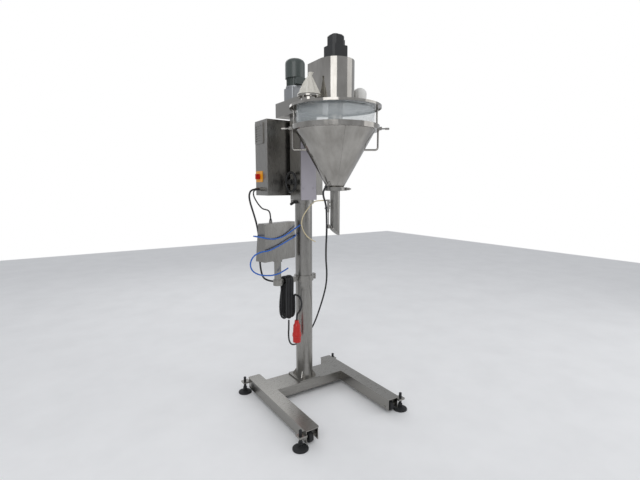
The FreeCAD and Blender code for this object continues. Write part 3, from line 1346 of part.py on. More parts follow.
def cord_hank():
    """Outer shape of the hanging turns, a long oval ring over the arm."""
    top = BRACKET_Z + ARM_BAR_HEIGHT / 2 + SEAT_GAP

    def oval(half, low, high):
        edges = [Part.Arc(Vector(0, half, high), Vector(0, 0, high + half), Vector(0, -half, high)).toShape()]
        edges.append(Part.makeLine(Vector(0, -half, high), Vector(0, -half, low)))
        edges.append(Part.Arc(Vector(0, -half, low), Vector(0, 0, low - half), Vector(0, half, low)).toShape())
        edges.append(Part.makeLine(Vector(0, half, low), Vector(0, half, high)))
        return Part.Face(Part.Wire(edges))

    inner = HANK_OPENING / 2
    high = top - math.sqrt(inner ** 2 - (ARM_BAR_WIDTH / 2) ** 2)
    low = HANK_BOTTOM_Z + inner + HANK_THICKNESS
    ring = oval(inner + HANK_THICKNESS, low, high).cut(oval(inner, low, high))
    solid = ring.extrude(Vector(HANK_WIDTH, 0, 0))
    solid.translate(Vector(HANK_X, 0, 0))
    return hank_turned(solid)


def supply_plug():
    """Round industrial plug hanging nose down: cord nut, grip, collar and shroud."""
    x, y = PLUG_X, PLUG_Y
    top = PLUG_TOP_Z
    outline = [(0, top), (12, top), (14, top - 18), (21, top - 30), (23, top - 72), (26, top - 80),
               (27, top - 96), (24, top - 98), (24, top - 132), (0, top - 132)]
    body = turned(outline, x, y)
    mouth = upright(21, x, y, top - 133, top - 100)
    pins = []
    for i in range(5):
        a = 2 * math.pi * i / 5
        pins.append(upright(3, x + 12 * math.cos(a), y + 12 * math.sin(a), top - 128, top - 99))
    return fused([body.cut(mouth)] + pins)


def panel_point(x, y, z):
    """A point given across and behind the operator box, in the machine's own directions."""
    a = math.radians(PANEL_TURN)
    return (PANEL_X + x * math.cos(a) - y * math.sin(a), PANEL_Y + x * math.sin(a) + y * math.cos(a), z)


def cord_routes():
    """Name, diameter and points of each cord, from the end that is fixed first."""
    supply = [(-217, 188, 1255), (-252, 188, 1255), (-272, 182, 1222), (-272, 166, 1176), (-264, 140, 1118),
              (-258, 104, 1045), (-258, 78, 965), (-260, 68, 890), (-258, 74, 825), (-246, 86, 770),
              (-228, 96, 724), (-188, 96, 702), (-152.7, 64.9, 700), (-143, 16.3, 700)]
    lead = [(-101.0, -66.1, 640), (-94.1, -100.4, 640), (-92, -124, 616), (-93, -127, 580), (-96, -108, 548),
            (-99, -80, 522), (-99, -80, 488)]
    panel = [(-217, 154, 1255), (-248, 154, 1255), (-262, 144, 1226), (-258, 116, 1190), (-252, 78, 1160),
             (-252, 38, 1144), (-252, 0, 1142), (-249, -38, 1138), (-247.8, -54.6, 1114),
             (-247.8, -54.6, 1083)]
    across = [(142, -46, 1046), (108, -41, 1031), (58, -37, 1006), (0, -35, 986), (-60, -36, 981),
              (-112, -39, 990), (-150, -22, 1000), (-154, 34, 1002), (-116, 56, 996), (-58, 52, 985),
              (0, 50, 977), (58, 52, 977), (106, 54, 984), (140, 32, 992), (140, -18, 992),
              (106, -40, 983), (58, -40, 968), (0, -37, 948), (-60, -38, 931), (-112, -41, 921),
              (-160, -36, 922), (-203, -24, 905), (-218, -12, 862), (-200, -8, 820), (-160, -14, 794),
              (-112, -26, 782), (-62, -40, 780), (-20, -52, 790), (28, -56, 808)]
    blue = [panel_point(*p) for p in across]
    spout = [(-69, -345, 1273), (-88, -345, 1254), (-90, -346, 1222), (-77, -347, 1190), (-70, -347, 1155),
             (-67, -345, 1100), (-62, -338, 1028), (-44, -305, 945), (-8, -252, 862), (36, -198, 780),
             (74, -135, 690), (101, -62, 592), (116, 12, 480), (118, 68, 385), (98, 104, 312),
             (52, 112, 272), (-4, 94, 262), (-56, 62, 280), (-92, 28, 322), (-114, -4, 378),
             (-122, -24.4, 436), (-122, -24.4, 478)]
    cream = [(-64.5, -325, 1198.5), (-84, -325, 1198.5), (-98, -309, 1197), (-98, -280, 1193),
             (-82, -238, 1186), (-56, -192, 1180), (-32, -150, 1177), (-24, -114, 1162), (-38, -90, 1130),
             (-58, -80, 1092), (-62, -76, 1050), (-44, -76, 1006), (-12, -78, 968), (32, -82, 946)]
    return (("supply_cord", SUPPLY_CORD, supply), ("plug_lead", SUPPLY_CORD, lead),
            ("panel_cable", PANEL_CORD, panel), ("blue_hose", AIR_HOSE, blue),
            ("spout_cable", SPOUT_CORD, spout), ("cream_hose", THIN_HOSE, cream))


def main():
    os.makedirs("parts", exist_ok=True)
    for name, side in (("left", -1), ("right", 1)):
        save("leg_" + name, leg(side))
        for place, y in zip(("front", "rear"), wheel_places()):
            save("wheel_" + place + "_" + name, wheel(side, y))
        for place, y in (("front", FOOT_FRONT_Y), ("rear", FOOT_REAR_Y)):
            save("foot_" + place + "_" + name, foot(side * FOOT_X, y))
    save("cross_beam", cross_beam())
    save("column_base", column_base())
    save("column", [column(), rack()])
    save("lift_pinion", lift_pinion())
    save("handwheel", handwheel())
    save("sleeve", [sleeve(), clamp_collar()] + sleeve_bushes())
    save("sleeve_plate", sleeve_plate())
    save("clamp_lever", clamp_lever())
    save("cabinet_body", [cabinet_body(), cabinet_grille()])
    save("cabinet_door", cabinet_door())
    save("switch_plate", switch_plate())
    save("switch_knob", switch_knob())
    save("arm_case", arm_case())
    save("mixer_gearbox", mixer_gearbox())
    save("mixer_motor", mixer_motor())
    save("motor_cowl", motor_cowl())
    save("drive_sprocket", drive_sprocket())
    save("driven_sprocket", driven_sprocket())
    save("drive_chain", chain())
    save("drive_cover", drive_cover())
    save("drive_frame", [drive_frame(), bearing_housing()])
    save("servo_motor", servo_motor())
    save("hopper_lid", [hopper_lid()] + tie_rods())
    save("view_ring", view_ring())
    save("hopper", hopper())
    for name, angle in zip(("right", "left"), side_angles()):
        save("rim_latch_" + name, rim_latch(angle))
    save("neck_clamp", neck_clamp())
    save("clamp_nut", clamp_nut())
    save("spout", [spout()] + spout_hinge())
    save("outlet_flap", outlet_flap())
    save("air_cylinder", air_cylinder())
    save("cylinder_rod", cylinder_rod())
    save("auger", auger())
    save("agitator", agitator())
    save("inlet_port", inlet_port())
    save("vent_filter", vent_filter())
    save("inlet_bag", inlet_bag())
    save("vent_bag", vent_bag())
    save("bracket_arm", [bracket_clamp(), panel_post()])
    save("panel_box", panel_box())
    save("panel_screen", panel_screen())
    save("supply_plug", supply_plug())
    save("cord_hank", cord_hank())
    for name, diameter, points in cord_routes():
        cord(name, diameter, points)


main()
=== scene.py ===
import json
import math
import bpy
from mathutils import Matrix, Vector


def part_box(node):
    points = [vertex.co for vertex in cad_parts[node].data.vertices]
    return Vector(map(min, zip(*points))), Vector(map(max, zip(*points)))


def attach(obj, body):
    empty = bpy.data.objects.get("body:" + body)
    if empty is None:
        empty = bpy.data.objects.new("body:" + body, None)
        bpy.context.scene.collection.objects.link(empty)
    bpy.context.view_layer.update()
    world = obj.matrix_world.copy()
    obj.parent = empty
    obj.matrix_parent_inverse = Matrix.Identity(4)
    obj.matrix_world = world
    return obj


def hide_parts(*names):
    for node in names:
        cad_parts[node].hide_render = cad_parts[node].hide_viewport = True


bl_info = {
    "name": "Auger powder filler",
    "version": (1, 0, 0),
    "blender": (4, 5, 0),
    "location": "3D View > Sidebar > Filler",
    "description": "Dresses the packed auger powder filler with its cords, bags and finishes",
    "category": "Object",
}

import bpy
import bmesh
from mathutils import Vector

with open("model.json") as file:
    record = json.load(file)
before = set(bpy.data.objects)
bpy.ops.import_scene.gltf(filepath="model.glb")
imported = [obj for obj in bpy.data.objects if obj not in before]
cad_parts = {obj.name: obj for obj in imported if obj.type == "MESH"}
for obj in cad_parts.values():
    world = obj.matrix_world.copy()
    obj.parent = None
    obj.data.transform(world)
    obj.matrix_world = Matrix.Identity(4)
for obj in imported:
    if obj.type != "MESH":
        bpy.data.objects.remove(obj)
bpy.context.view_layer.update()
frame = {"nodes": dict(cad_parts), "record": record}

# Places are in metres, given from the column's axis
COLUMN_Y = 0.1585               # the column's axis in the frame, behind the middle of the feet
HOPPER_Y = -0.325               # the hopper's axis, in front of the column's
PANEL_TURN = math.radians(17.0)
PANEL_PIVOT = (-0.200, -0.040)
ARM_TURN = math.atan2(0.040, 0.200)

CAMERA_PLACE = (-1.2758, -2.1170, 1.2660)
CAMERA_FORWARD = (0.5455, 0.8284, -0.1269)
CAMERA_LENS = 23.1              # millimetres, on a sensor of the next width
CAMERA_SENSOR = 36.0
FLOOR_SIZE = 14.0
FLOOR_Z = -0.0005               # just under the feet, so that the two faces never share a plane


# ---------------------------------------------------------------- helpers

def linear(colour):
    """Linear RGBA from an sRGB hex value such as '#8a8c8e'."""
    parts = [int(colour.lstrip("#")[i:i + 2], 16) / 255 for i in (0, 2, 4)]
    return [c / 12.92 if c <= 0.04045 else ((c + 0.055) / 1.055) ** 2.4 for c in parts] + [1.0]


def add_node(tree, kind, values=None, links=None):
    """Add one node, set its socket values and link its inputs."""
    node = tree.nodes.new(kind)
    for key, value in (values or {}).items():
        node.inputs[key].default_value = value
    for key, (source, output) in (links or {}).items():
        tree.links.new(source.outputs[output], node.inputs[key])
    return node


def blank(name):
    """A new node material with its shader and nothing else."""
    material = bpy.data.materials.new(name)
    material.use_nodes = True
    tree = material.node_tree
    tree.nodes.clear()
    shader = add_node(tree, "ShaderNodeBsdfPrincipled")
    add_node(tree, "ShaderNodeOutputMaterial", links={"Surface": (shader, "BSDF")})
    return material, tree, shader


def mottled(tree, shader, dark, light, scale, stretch, rough, bump, distance, detail=4.0):
    """Two-tone noise on object coordinates for colour, roughness and bump together."""
    place = add_node(tree, "ShaderNodeTexCoord")
    mapped = add_node(tree, "ShaderNodeMapping", {"Scale": stretch}, {"Vector": (place, "Object")})
    noise = add_node(tree, "ShaderNodeTexNoise", {"Scale": scale, "Detail": detail, "Roughness": 0.6},
                     {"Vector": (mapped, "Vector")})
    ramp = add_node(tree, "ShaderNodeValToRGB", links={"Fac": (noise, "Fac")})
    ramp.color_ramp.elements[0].position = 0.3
    ramp.color_ramp.elements[1].position = 0.7
    ramp.color_ramp.elements[0].color = linear(dark)
    ramp.color_ramp.elements[1].color = linear(light)
    spread = add_node(tree, "ShaderNodeMapRange", {"To Min": rough[0], "To Max": rough[1]},
                      {"Value": (noise, "Fac")})
    height = add_node(tree, "ShaderNodeBump", {"Strength": bump, "Distance": distance},
                      {"Height": (noise, "Fac")})
    tree.links.new(ramp.outputs["Color"], shader.inputs["Base Color"])
    tree.links.new(spread.outputs["Result"], shader.inputs["Roughness"])
    tree.links.new(height.outputs["Normal"], shader.inputs["Normal"])


def metal(name, dark, light, scale, stretch, rough, bump):
    """Bare metal with a grain drawn out along one direction."""
    material, tree, shader = blank(name)
    shader.inputs["Metallic"].default_value = 1.0
    mottled(tree, shader, dark, light, scale, stretch, rough, bump, 0.0002)
    return material


def coated(name, dark, light, scale, rough, bump, coat=0.0):
    """Paint, plastic or rubber with a fine surface texture."""
    material, tree, shader = blank(name)
    shader.inputs["IOR"].default_value = 1.5
    shader.inputs["Coat Weight"].default_value = coat
    mottled(tree, shader, dark, light, scale, (1, 1, 1), rough, bump, 0.0004)
    return material


def clear(name, tint, rough, ior, alpha, scale, bump):
    """See-through sheet with slight waves in its surface."""
    material, tree, shader = blank(name)
    shader.inputs["IOR"].default_value = ior
    shader.inputs["Alpha"].default_value = alpha
    mottled(tree, shader, tint, tint, scale, (1, 1, 1), rough, bump, 0.002, 2.0)
    return material


def finishes():
    """Every material of the machine by name, made once."""
    made = bpy.data.materials
    if "brushed_304_stainless" in made:
        return made
    # Ground 304 sheet: hairlines about 1 mm apart, drawn out along the length, soft stretched highlights
    metal("brushed_304_stainless", "#83817d", "#a5a39f", 900, (1, 1, 0.03), (0.22, 0.36), 0.06)
    # The same sheet ground across, on level faces
    metal("cross_brushed_304_stainless", "#86847f", "#a8a6a2", 900, (0.03, 1, 1), (0.22, 0.36), 0.06)
    # Buffed 304: mirror with faint cloudy buffing marks some 60 mm wide
    metal("buffed_304_stainless", "#93908b", "#b0ada8", 16, (1, 1, 0.35), (0.06, 0.16), 0.03)
    # Roller chain and sprocket steel, oiled
    metal("oiled_chain_steel", "#4a4b4d", "#6c6d6f", 300, (1, 1, 1), (0.3, 0.45), 0.08)
    # Die-cast aluminium, matt with a fine sand-like skin
    metal("die_cast_aluminium", "#8f9193", "#adafb1", 420, (1, 1, 1), (0.4, 0.52), 0.12)
    # Black anodised servo housing, nearly matt
    coated("black_anodised_aluminium", "#141516", "#1d1e20", 500, (0.36, 0.48), 0.06)
    # Enamelled cast motor: grey-green with orange-peel about 2 mm wide
    coated("grey_green_enamel", "#3f4744", "#4c5451", 420, (0.30, 0.42), 0.12, 0.2)
    # Moulded phenolic and nylon knobs, black
    coated("black_phenolic", "#121213", "#1c1c1d", 260, (0.28, 0.40), 0.05)
    # Moulded nitrile pads and tyres
    coated("black_nitrile_rubber", "#17181a", "#242527", 340, (0.62, 0.78), 0.15)
    coated("yellow_polycarbonate", "#e79a12", "#f0a51c", 90, (0.26, 0.36), 0.03)
    coated("red_polyamide", "#b51812", "#c21f18", 90, (0.28, 0.38), 0.03)
    coated("blue_polyurethane_hose", "#1358b0", "#1c66c2", 120, (0.22, 0.32), 0.02, 0.3)
    coated("cream_silicone_hose", "#cfc09a", "#dccfac", 120, (0.40, 0.52), 0.03)
    coated("black_pvc_sheath", "#161617", "#222224", 420, (0.40, 0.55), 0.08)
    coated("screen_glass", "#121519", "#181c21", 40, (0.06, 0.10), 0.01, 1.0)
    clear("cast_acrylic", "#e9f1f3", (0.03, 0.06), 1.49, 0.22, 12, 0.02)
    clear("polyethylene_film", "#ebe7dc", (0.14, 0.34), 1.51, 0.72, 55, 0.6)
    # Satin powder coat on the front plate, lilac-grey, with a fine orange peel
    coated("lilac_grey_powder_coat", "#a5a1a9", "#b0acb4", 380, (0.34, 0.46), 0.08)
    # Non-woven filter bag: fibres shown about 1.5 mm apart, coarser than real
    coated("spunbond_filter_cloth", "#d9d8d4", "#efeeea", 650, (0.75, 0.90), 0.35)
    return made


FINISH_OF_SLOT = {
    "brushed stainless": "brushed_304_stainless",
    "polished stainless": "buffed_304_stainless",
    "black motor": "black_anodised_aluminium",
    "grey green motor": "grey_green_enamel",
    "cast aluminium": "die_cast_aluminium",
    "chain steel": "oiled_chain_steel",
    "black plastic": "black_phenolic",
    "black rubber": "black_nitrile_rubber",
    "wheel rubber": "black_nitrile_rubber",
    "yellow plastic": "yellow_polycarbonate",
    "red plastic": "red_polyamide",
    "clear acrylic": "cast_acrylic",
    "screen glass": "screen_glass",
    "filter cloth": "spunbond_filter_cloth",
    "film bag": "polyethylene_film",
    "blue hose": "blue_polyurethane_hose",
    "cream hose": "cream_silicone_hose",
    "black cable": "black_pvc_sheath",
}
LEVEL_GRAIN = ("cross_beam", "leg_left", "leg_right", "arm_case", "bracket_arm", "hopper_lid")


def deselect():
    """Nothing selected, so an operator acts only on what is added next."""
    if bpy.context.object and bpy.context.object.mode != "OBJECT":
        bpy.ops.object.mode_set(mode="OBJECT")
    bpy.ops.object.select_all(action="DESELECT")


def settle(piece, name, body, finish):
    """Name a finished piece, bake its place into its mesh, give it its finish and let it ride."""
    piece.name = name
    piece.data.name = name
    deselect()
    piece.select_set(True)
    bpy.context.view_layer.objects.active = piece
    bpy.ops.object.transform_apply(location=True, rotation=True, scale=True)
    piece.data.materials.clear()
    piece.data.materials.append(finishes()[finish])
    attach(piece, body)


def spline(name, points, diameter, finish):
    """A round NURBS cord through its control points, given in metres from the column's axis."""
    data = bpy.data.curves.new(name, "CURVE")
    data.dimensions = "3D"
    line = data.splines.new("NURBS")
    line.points.add(len(points) - 1)
    for point, (x, y, z) in zip(line.points, points):
        point.co = (x, y + COLUMN_Y, z, 1.0)
    line.order_u = 3
    line.use_endpoint_u = True
    line.resolution_u = 8
    data.bevel_depth = diameter / 2
    data.bevel_resolution = 4
    data.use_fill_caps = True
    data.materials.append(finishes()[finish])
    cord = bpy.data.objects.new(name, data)
    bpy.context.scene.collection.objects.link(cord)
    return cord


def metres(points):
    """The points of a route, from millimetres to metres."""
    return [(x / 1000, y / 1000, z / 1000) for x, y, z in points]


def on_panel(x, y, z):
    """A point given across and behind the operator box, in millimetres."""
    cosine, sine = math.cos(PANEL_TURN), math.sin(PANEL_TURN)
    return (PANEL_PIVOT[0] * 1000 + x * cosine - y * sine,
            PANEL_PIVOT[1] * 1000 + x * sine + y * cosine, z)


def on_arm(x, y, z):
    """A point given along and across the swinging arm, from the middle of the hank, in metres."""
    x += HANK_MIDDLE
    cosine, sine = math.cos(ARM_TURN), math.sin(ARM_TURN)
    return (x * cosine - y * sine, x * sine + y * cosine, z)


# Control points of the cords in millimetres, in order along each one. BLUE is given on the operator box.
SUPPLY = [(-217, 188, 1255), (-252, 188, 1255), (-272, 182, 1222), (-272, 166, 1176), (-264, 140, 1118),
          (-258, 104, 1045), (-258, 78, 965), (-260, 68, 890), (-258, 74, 825), (-246, 86, 770),
          (-228, 96, 724), (-188, 96, 702), (-152.7, 64.9, 700), (-143, 16.3, 700)]
LEAD = [(-101.0, -66.1, 640), (-94.1, -100.4, 640), (-92, -124, 616), (-93, -127, 580), (-96, -108, 548),
        (-99, -80, 522), (-99, -80, 488)]
PANEL = [(-217, 154, 1255), (-248, 154, 1255), (-262, 144, 1226), (-258, 116, 1190), (-252, 78, 1160),
         (-252, 38, 1144), (-252, 0, 1142), (-249, -38, 1138), (-247.8, -54.6, 1114), (-247.8, -54.6, 1083)]
BLUE = [(142, -46, 1046), (108, -41, 1031), (58, -37, 1006), (0, -35, 986), (-60, -36, 981),
        (-112, -39, 990), (-150, -22, 1000), (-154, 34, 1002), (-116, 56, 996), (-58, 52, 985),
        (0, 50, 977), (58, 52, 977), (106, 54, 984), (140, 32, 992), (140, -18, 992),
        (106, -40, 983), (58, -40, 968), (0, -37, 948), (-60, -38, 931), (-112, -41, 921),
        (-160, -36, 922), (-203, -24, 905), (-218, -12, 862), (-200, -8, 820), (-160, -14, 794),
        (-112, -26, 782), (-62, -40, 780), (-20, -52, 790), (28, -56, 808)]
SPOUT = [(-69, -345, 1273), (-88, -345, 1254), (-90, -346, 1222), (-77, -347, 1190), (-70, -347, 1155),
         (-67, -345, 1100), (-62, -338, 1028), (-44, -305, 945), (-8, -252, 862), (36, -198, 780),
         (74, -135, 690), (101, -62, 592), (116, 12, 480), (118, 68, 385), (98, 104, 312),
         (52, 112, 272), (-4, 94, 262), (-56, 62, 280), (-92, 28, 322), (-114, -4, 378),
         (-122, -24.4, 436), (-122, -24.4, 478)]
CREAM = [(-64.5, -325, 1198.5), (-84, -325, 1198.5), (-98, -309, 1197), (-98, -280, 1193),
         (-82, -238, 1186), (-56, -192, 1180), (-32, -150, 1177), (-24, -114, 1162), (-38, -90, 1130),
         (-58, -80, 1092), (-62, -76, 1050), (-44, -76, 1006), (-12, -78, 968), (32, -82, 946)]


# The hank in metres: along the arm from the hank's middle, across the arm, and height
HANK_MIDDLE = -0.137            # middle of the hank along the swinging arm
HANK_TURNS = 5
HANK_START = -0.0290            # the first turn
HANK_PITCH = 0.0118             # from one turn to the next
HANK_OVAL = 1.05                # how much wider the bends are than the runs between them
BEND_ANGLES = [math.radians(degrees) for degrees in (0, 45, 90, 135, 180)]
RUN_SHARES = (0.33, 0.67)
HANK_IN = [(0, 0.044, 0.700), (-0.003, 0.0385, 0.688), (-0.010, 0.0385, 0.655), (-0.019, 0.0385, 0.605),
           (-0.026, 0.034, 0.560)]
HANK_OUT = [(0.0290, 0.020, 0.506), (0.0290, 0.0, 0.496), (0.0285, -0.022, 0.504), (0.0275, -0.036, 0.530),
            (0.0265, -0.0385, 0.575), (0.0255, -0.0385, 0.622), (0.0252, -0.0395, 0.638),
            (0.0250, -0.0450, 0.640)]


def hank_turn(radius, low, high):
    """Across and height of one turn: the lower bend, up one side, the upper bend, down the other."""
    ring = [(radius * math.cos(angle) * HANK_OVAL, low - radius * math.sin(angle) * HANK_OVAL)
            for angle in BEND_ANGLES]
    ring += [(-radius, low + (high - low) * share) for share in RUN_SHARES]
    ring += [(-radius * math.cos(angle) * HANK_OVAL, high + radius * math.sin(angle))
             for angle in BEND_ANGLES]
    ring += [(radius, high + (low - high) * share) for share in RUN_SHARES]
    return ring


def hank_points():
    """The folded lead over the arm: in from the supply lead, its turns, and out to the plug's lead."""
    points = list(HANK_IN)
    for turn in range(HANK_TURNS):
        # No two turns are quite the same size
        radius = 0.0265 + 0.0012 * math.sin(turn * 2.4)
        low = 0.525 + 0.006 * math.sin(turn * 1.7)
        high = 0.7225 - 0.001 * math.sin(turn * 2.1)
        ring = hank_turn(radius, low, high)
        for step, (y, z) in enumerate(ring):
            passed = turn * len(ring) + step
            points.append((HANK_START + HANK_PITCH * passed / len(ring), y, z))
    points += HANK_OUT
    return [on_arm(*point) for point in points]


# ---------------------------------------------------------------- sizes and colours

class FillerSizes(bpy.types.PropertyGroup):
    """Real sizes of the pieces made here."""
    supply_cord: bpy.props.FloatProperty(name="Supply cord", description="Diameter of the supply cord",
                                         default=0.011, unit="LENGTH")
    cable: bpy.props.FloatProperty(name="Operator cable", description="Diameter of the operator box's cable",
                                   default=0.008, unit="LENGTH")
    spout_cable: bpy.props.FloatProperty(name="Hopper cable", description="Diameter of the hopper's cable",
                                         default=0.010, unit="LENGTH")
    blue_hose: bpy.props.FloatProperty(name="Blue hose", description="Outside diameter of the air hose",
                                       default=0.008, unit="LENGTH")
    cream_hose: bpy.props.FloatProperty(name="Cream hose", description="Outside diameter of the cream hose",
                                        default=0.006, unit="LENGTH")
    folds: bpy.props.IntProperty(name="Bag folds", description="Folds round the film bag", default=11)


class FillerStage(bpy.types.PropertyGroup):
    """Light and floor."""
    key: bpy.props.FloatProperty(name="Key lamp", description="Power of the large soft lamp", default=46.0,
                                 unit="POWER")
    fill: bpy.props.FloatProperty(name="Fill lamp", description="Power of the second lamp", default=20.0,
                                  unit="POWER")
    floor: bpy.props.StringProperty(name="Floor colour", description="sRGB hex value", default="#f4f4f4")


# ---------------------------------------------------------------- operators

class FILLER_OT_camera(bpy.types.Operator):
    """Stand the camera in front and to the left of the machine"""
    bl_idname = "filler.camera"
    bl_label = "Camera"

    def execute(self, context):
        data = bpy.data.cameras.new("camera")
        data.lens = CAMERA_LENS
        data.sensor_width = CAMERA_SENSOR
        camera = bpy.data.objects.new("camera", data)
        context.scene.collection.objects.link(camera)
        x, y, z = CAMERA_PLACE
        camera.location = (x, y + COLUMN_Y, z)
        camera.rotation_euler = Vector(CAMERA_FORWARD).to_track_quat("-Z", "Y").to_euler()
        context.scene.camera = camera
        return {"FINISHED"}


class FILLER_OT_cords(bpy.types.Operator):
    """Lay the cords and hoses along their routes"""
    bl_idname = "filler.cords"
    bl_label = "Cords and hoses"

    def execute(self, context):
        sizes = context.scene.filler_sizes
        table = (
            ("supply_lead_upper", "supply_cord", SUPPLY, sizes.supply_cord, "black_pvc_sheath", "black cable",
             "carriage", 0.72, "object", "medium", "hanging"),
            ("supply_lead_lower", "plug_lead", LEAD, sizes.supply_cord, "black_pvc_sheath", "black cable",
             "bracket", 0.205, "plug", "medium", "hanging"),
            ("operator_cable", "panel_cable", PANEL, sizes.cable, "black_pvc_sheath", "black cable",
             "carriage", 0.325, "object", "medium", "hanging"),
            ("air_hose_blue", "blue_hose", [on_panel(*p) for p in BLUE], sizes.blue_hose,
             "blue_polyurethane_hose", "blue hose", "panel", 1.39, "bare", "medium", "loose"),
            ("hopper_cable", "spout_cable", SPOUT, sizes.spout_cable, "black_pvc_sheath", "black cable",
             "carriage", 1.53, "object", "medium", "hanging"),
            ("air_hose_cream", "cream_hose", CREAM, sizes.cream_hose, "cream_silicone_hose", "cream hose",
             "carriage", 0.51, "bare", "medium", "loose"),
        )
        for name, node, route, diameter, finish, slot, body, length, end, stiff, lay in table:
            points = metres(route)
            cord = spline(name, points, diameter, finish)
            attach(cord, body)
            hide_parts(node)
        return {"FINISHED"}


class FILLER_OT_hank(bpy.types.Operator):
    """Hang the folded supply lead over the swinging arm"""
    bl_idname = "filler.hank"
    bl_label = "Hank of cord"

    def execute(self, context):
        diameter = context.scene.filler_sizes.supply_cord
        points = hank_points()
        hank = spline("supply_lead_hank", points, diameter, "black_pvc_sheath")
        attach(hank, "bracket")
        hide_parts("cord_hank")
        return {"FINISHED"}


# Bags as rings from the rim up: radius and lift above the rim in metres, then radius and share of the height
INLET_RIM = ((0.0600, 0), (0.0585, 0.004))
INLET_SHAPE = ((0.052, 0.10), (0.044, 0.26), (0.034, 0.44), (0.024, 0.62), (0.014, 0.78), (0.008, 0.86),
               (0.011, 0.94), (0.013, 0.99))
VENT_RIM = ((0.0425, 0),)
VENT_SHAPE = ((0.0400, 0.06), (0.0355, 0.18), (0.0365, 0.36), (0.0358, 0.55), (0.0368, 0.72),
              (0.0350, 0.82), (0.026, 0.92), (0.012, 0.985))
POINTS_PER_FOLD = 8


def bag_rings(node, rim, shape):
    """Radius and height of each ring of the bag that stands for a node."""
    low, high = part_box(node)
    span = high.z - low.z
    rings = [(radius, low.z + lift) for radius, lift in rim]
    return rings + [(radius, low.z + share * span) for radius, share in shape]


def swell_of(angle, share, folds, depth):
    """How far a bag's wall swells out: uneven folds that fade in above its rim."""
    wave = math.cos(angle * folds + 1.3 * math.sin(angle * 2)) + 0.5 * math.sin(angle * 3 + share * 2)
    return 1 + depth * wave * min(1.0, share * 3) * (0.6 + 0.4 * math.sin(share * 9 + angle))


def crease_of(angle, share):
    """How far a bag's wall is pushed up or down: slanting creases that fade out at both ends."""
    return 0.0016 * math.sin(angle * 7 + share * 21) * min(1.0, share * 4) * (1 - share)


def folded_bag(name, axis_x, rings, folds, depth, lean, finish, node):
    """A thin bag turned about an upright axis, with folds that run down it and fade at its rim."""
    deselect()
    axis_y = HOPPER_Y + COLUMN_Y
    around = folds * POINTS_PER_FOLD
    bpy.ops.object.add(type="MESH", location=(0, 0, 0))
    piece = bpy.context.object
    mesh = bmesh.new()
    loops = []
    for index, (radius, height) in enumerate(rings):
        share = index / (len(rings) - 1)
        drift = lean * share * share
        loop = []
        for step in range(around):
            angle = 2 * math.pi * step / around
            swell = swell_of(angle, share, folds, depth)
            loop.append(mesh.verts.new((axis_x + drift + radius * swell * math.cos(angle),
                                        axis_y + radius * swell * math.sin(angle),
                                        height + crease_of(angle, share))))
        loops.append(loop)
    for low, high in zip(loops, loops[1:]):
        for step in range(around):
            after = (step + 1) % around
            mesh.faces.new((low[step], low[after], high[after], high[step]))
    mesh.faces.new(loops[-1])
    mesh.to_mesh(piece.data)
    mesh.free()
    for face in piece.data.polygons:
        face.use_smooth = True
    settle(piece, name, "carriage", finish)
    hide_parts(node)


class FILLER_OT_bags(bpy.types.Operator):
    """Pull the film over the inlet and the filter bag over the vent"""
    bl_idname = "filler.bags"
    bl_label = "Bags"

    def execute(self, context):
        folds = context.scene.filler_sizes.folds
        rings = bag_rings("inlet_bag", INLET_RIM, INLET_SHAPE)
        folded_bag("inlet_film", -0.160, rings, folds, 0.12, 0.010, "polyethylene_film",
                   "inlet_bag")
        rings = bag_rings("vent_bag", VENT_RIM, VENT_SHAPE)
        folded_bag("vent_filter_bag", 0.160, rings, folds, 0.035, 0.0, "spunbond_filter_cloth",
                   "vent_bag")
        return {"FINISHED"}


# Strain reliefs
RIB_COUNT = 4
RIB_DEPTH = 0.07                # share of the radius
RIB_CUTS = 3


def boot(name, place, direction, thick, thin, length, body):
    """A tapered, ribbed strain relief that points along the cord as it leaves."""
    deselect()
    bpy.ops.mesh.primitive_cone_add(vertices=28, radius1=thick, radius2=thin, depth=length,
                                    location=(0, 0, length / 2))
    piece = bpy.context.object
    bpy.ops.object.mode_set(mode="EDIT")
    bpy.ops.mesh.select_all(action="SELECT")
    bpy.ops.mesh.subdivide(number_cuts=RIB_CUTS, smoothness=0)
    bpy.ops.object.mode_set(mode="OBJECT")
    for point in piece.data.vertices:
        rib = 1 + RIB_DEPTH * math.cos(point.co.z / length * math.pi * 2 * RIB_COUNT)
        point.co.x *= rib
        point.co.y *= rib
    turn = Vector(direction).to_track_quat("Z", "Y").to_matrix().to_4x4()
    piece.data.transform(turn)
    piece.location = (place[0], place[1] + COLUMN_Y, place[2])
    deselect()
    piece.select_set(True)
    bpy.context.view_layer.objects.active = piece
    bpy.ops.object.shade_smooth_by_angle(angle=math.radians(50))
    settle(piece, name, body, "black_phenolic")


class FILLER_OT_boots(bpy.types.Operator):
    """Fit the tapered strain reliefs where cords leave a housing"""
    bl_idname = "filler.boots"
    bl_label = "Strain reliefs"

    def execute(self, context):
        sizes = context.scene.filler_sizes
        boot("supply_strain_relief", (-0.2172, 0.188, 1.255), (-1, 0, 0), 0.0095, sizes.supply_cord * 0.62,
             0.022, "carriage")
        boot("operator_strain_relief", (-0.2172, 0.154, 1.255), (-1, 0, 0), 0.0090, sizes.cable * 0.66,
             0.020, "carriage")
        boot("panel_strain_relief", (-0.2478, -0.0546, 1.0832), (0, 0, 1), 0.0085, sizes.cable * 0.66,
             0.020, "panel")
        boot("hopper_strain_relief", (-0.0691, -0.345, 1.2729), (-0.707, 0, -0.707), 0.0085,
             sizes.spout_cable * 0.63, 0.018, "carriage")
        return {"FINISHED"}


# The weld down the cone: radius and height of its ends, and where it lies round the hopper's axis
SEAM_TOP = (0.2082, 1.556)
SEAM_FOOT = (0.0461, 1.269)
SEAM_TURN = math.radians(-112)
BEAD_RADIUS = 0.0011
BEAD_RIPPLES = 900              # radians of ripple per metre
BEAD_FLATNESS = 0.6


